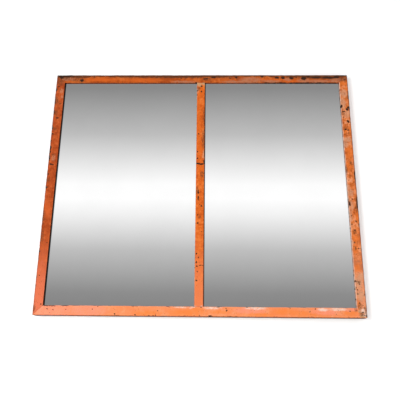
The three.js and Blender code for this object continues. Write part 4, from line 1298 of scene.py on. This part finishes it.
def stage_plane(name, place, size, turn, material):
    bpy.ops.mesh.primitive_plane_add(size=1, location=place, rotation=turn)
    plane = name_it(bpy.context.object, name)
    plane.scale = (*size, 1)
    bpy.ops.object.transform_apply()
    plane.data.materials.append(material)
    return plane


wall = stage_plane(
    "wall", (0, cad_high.y + WALL_GAP, WALL_TALL / 2 - FLOOR_DROP), (2 * FLOOR_REACH, WALL_TALL),
    (math.pi / 2, 0, 0), plaster("white wall", WALL_GLOW, True))
wall.visible_diffuse = False
wall.visible_glossy = False
wall.visible_transmission = False
wall.visible_shadow = False
stage_plane(
    "floor", (0, 0, -FLOOR_DROP), (2 * FLOOR_REACH, 2 * FLOOR_REACH), (0, 0, 0),
    plaster("pale floor", FLOOR_GLOW, False))


def soft_lamp(name, place, size, power):
    bpy.ops.object.light_add(type="AREA", location=place)
    lamp = bpy.context.object
    lamp.name = name
    lamp.data.shape = "SQUARE"
    lamp.data.size = size
    lamp.data.energy = power
    towards = Vector((0, 0, HEIGHT / 2)) - Vector(place)
    lamp.rotation_euler = towards.to_track_quat("-Z", "Y").to_euler()
    lamp.visible_glossy = False


soft_lamp("window on the left", (-1.1, -2.3, 0.15), 0.6, 34)
soft_lamp("fill from the right", (1.8, -2.6, 0.4), 1.6, 12)
soft_lamp("light on the back", (0.6, 3.0, 1.2), 1.6, 40)

# What the mirror shows of the room depends only on how steeply a line from it climbs: a bright band
# between a dim floor and a dim ceiling. Each stop is that slope and how light the room is there, and
# the strength makes up for the light that the silvering takes.
ROOM_BANDS = (
    (0.073, 135), (0.096, 141), (0.184, 190), (0.263, 242), (0.297, 255), (0.329, 253), (0.448, 189),
    (0.564, 137))
ROOM_STRENGTH = 1.08
bpy.context.scene.world = bpy.data.worlds.new("room")
bpy.context.scene.world.use_nodes = True
tree = bpy.context.scene.world.node_tree
tree.nodes.clear()
parts = parts_of(add_node(tree, "TexCoord").outputs["Generated"])
level = greatest(size_of(parts["Y"]), 0.02)
slope = over(parts["Z"], level)
gradient = colour_ramp(slope, *((slope_at, grey(value)) for slope_at, value in ROOM_BANDS))
rays = add_node(tree, "LightPath").outputs


def backdrop(colour, strength):
    return add_node(tree, "Background", {"Color": colour, "Strength": strength}).outputs[0]


unseen = blend(
    rays["Is Glossy Ray"], backdrop((1, 1, 1, 1), FRONT_LIGHT), backdrop(gradient, ROOM_STRENGTH))
shown = greatest(rays["Is Camera Ray"], rays["Is Transmission Ray"])
add_node(tree, "OutputWorld", {"Surface": blend(shown, unseen, backdrop((1, 1, 1, 1), 1.0))})

# The camera stands just under the foot of the mirror, a metre and a half away, and looks up at it.
CAMERA_PLACE = (0.0311, -1.4632, -0.0703)
CAMERA_YAW, CAMERA_PITCH, CAMERA_ROLL = (math.radians(value) for value in (-1.225, 16.39, 0.609))
CAMERA_LENS = 43.487
camera_data = bpy.data.cameras.new("camera")
camera = bpy.data.objects.new("camera", camera_data)
bpy.context.scene.collection.objects.link(camera)
camera.location = CAMERA_PLACE
ahead = Vector((
    math.sin(CAMERA_YAW) * math.cos(CAMERA_PITCH), math.cos(CAMERA_YAW) * math.cos(CAMERA_PITCH),
    math.sin(CAMERA_PITCH)))
turned_view = ahead.to_track_quat("-Z", "Y").to_matrix() @ Matrix.Rotation(CAMERA_ROLL, 3, "Z")
camera.rotation_mode = "QUATERNION"
camera.rotation_quaternion = turned_view.to_quaternion()
camera_data.lens = CAMERA_LENS
camera_data.sensor_width = 36
bpy.context.scene.camera = camera
bpy.context.scene.view_settings.view_transform = "Standard"
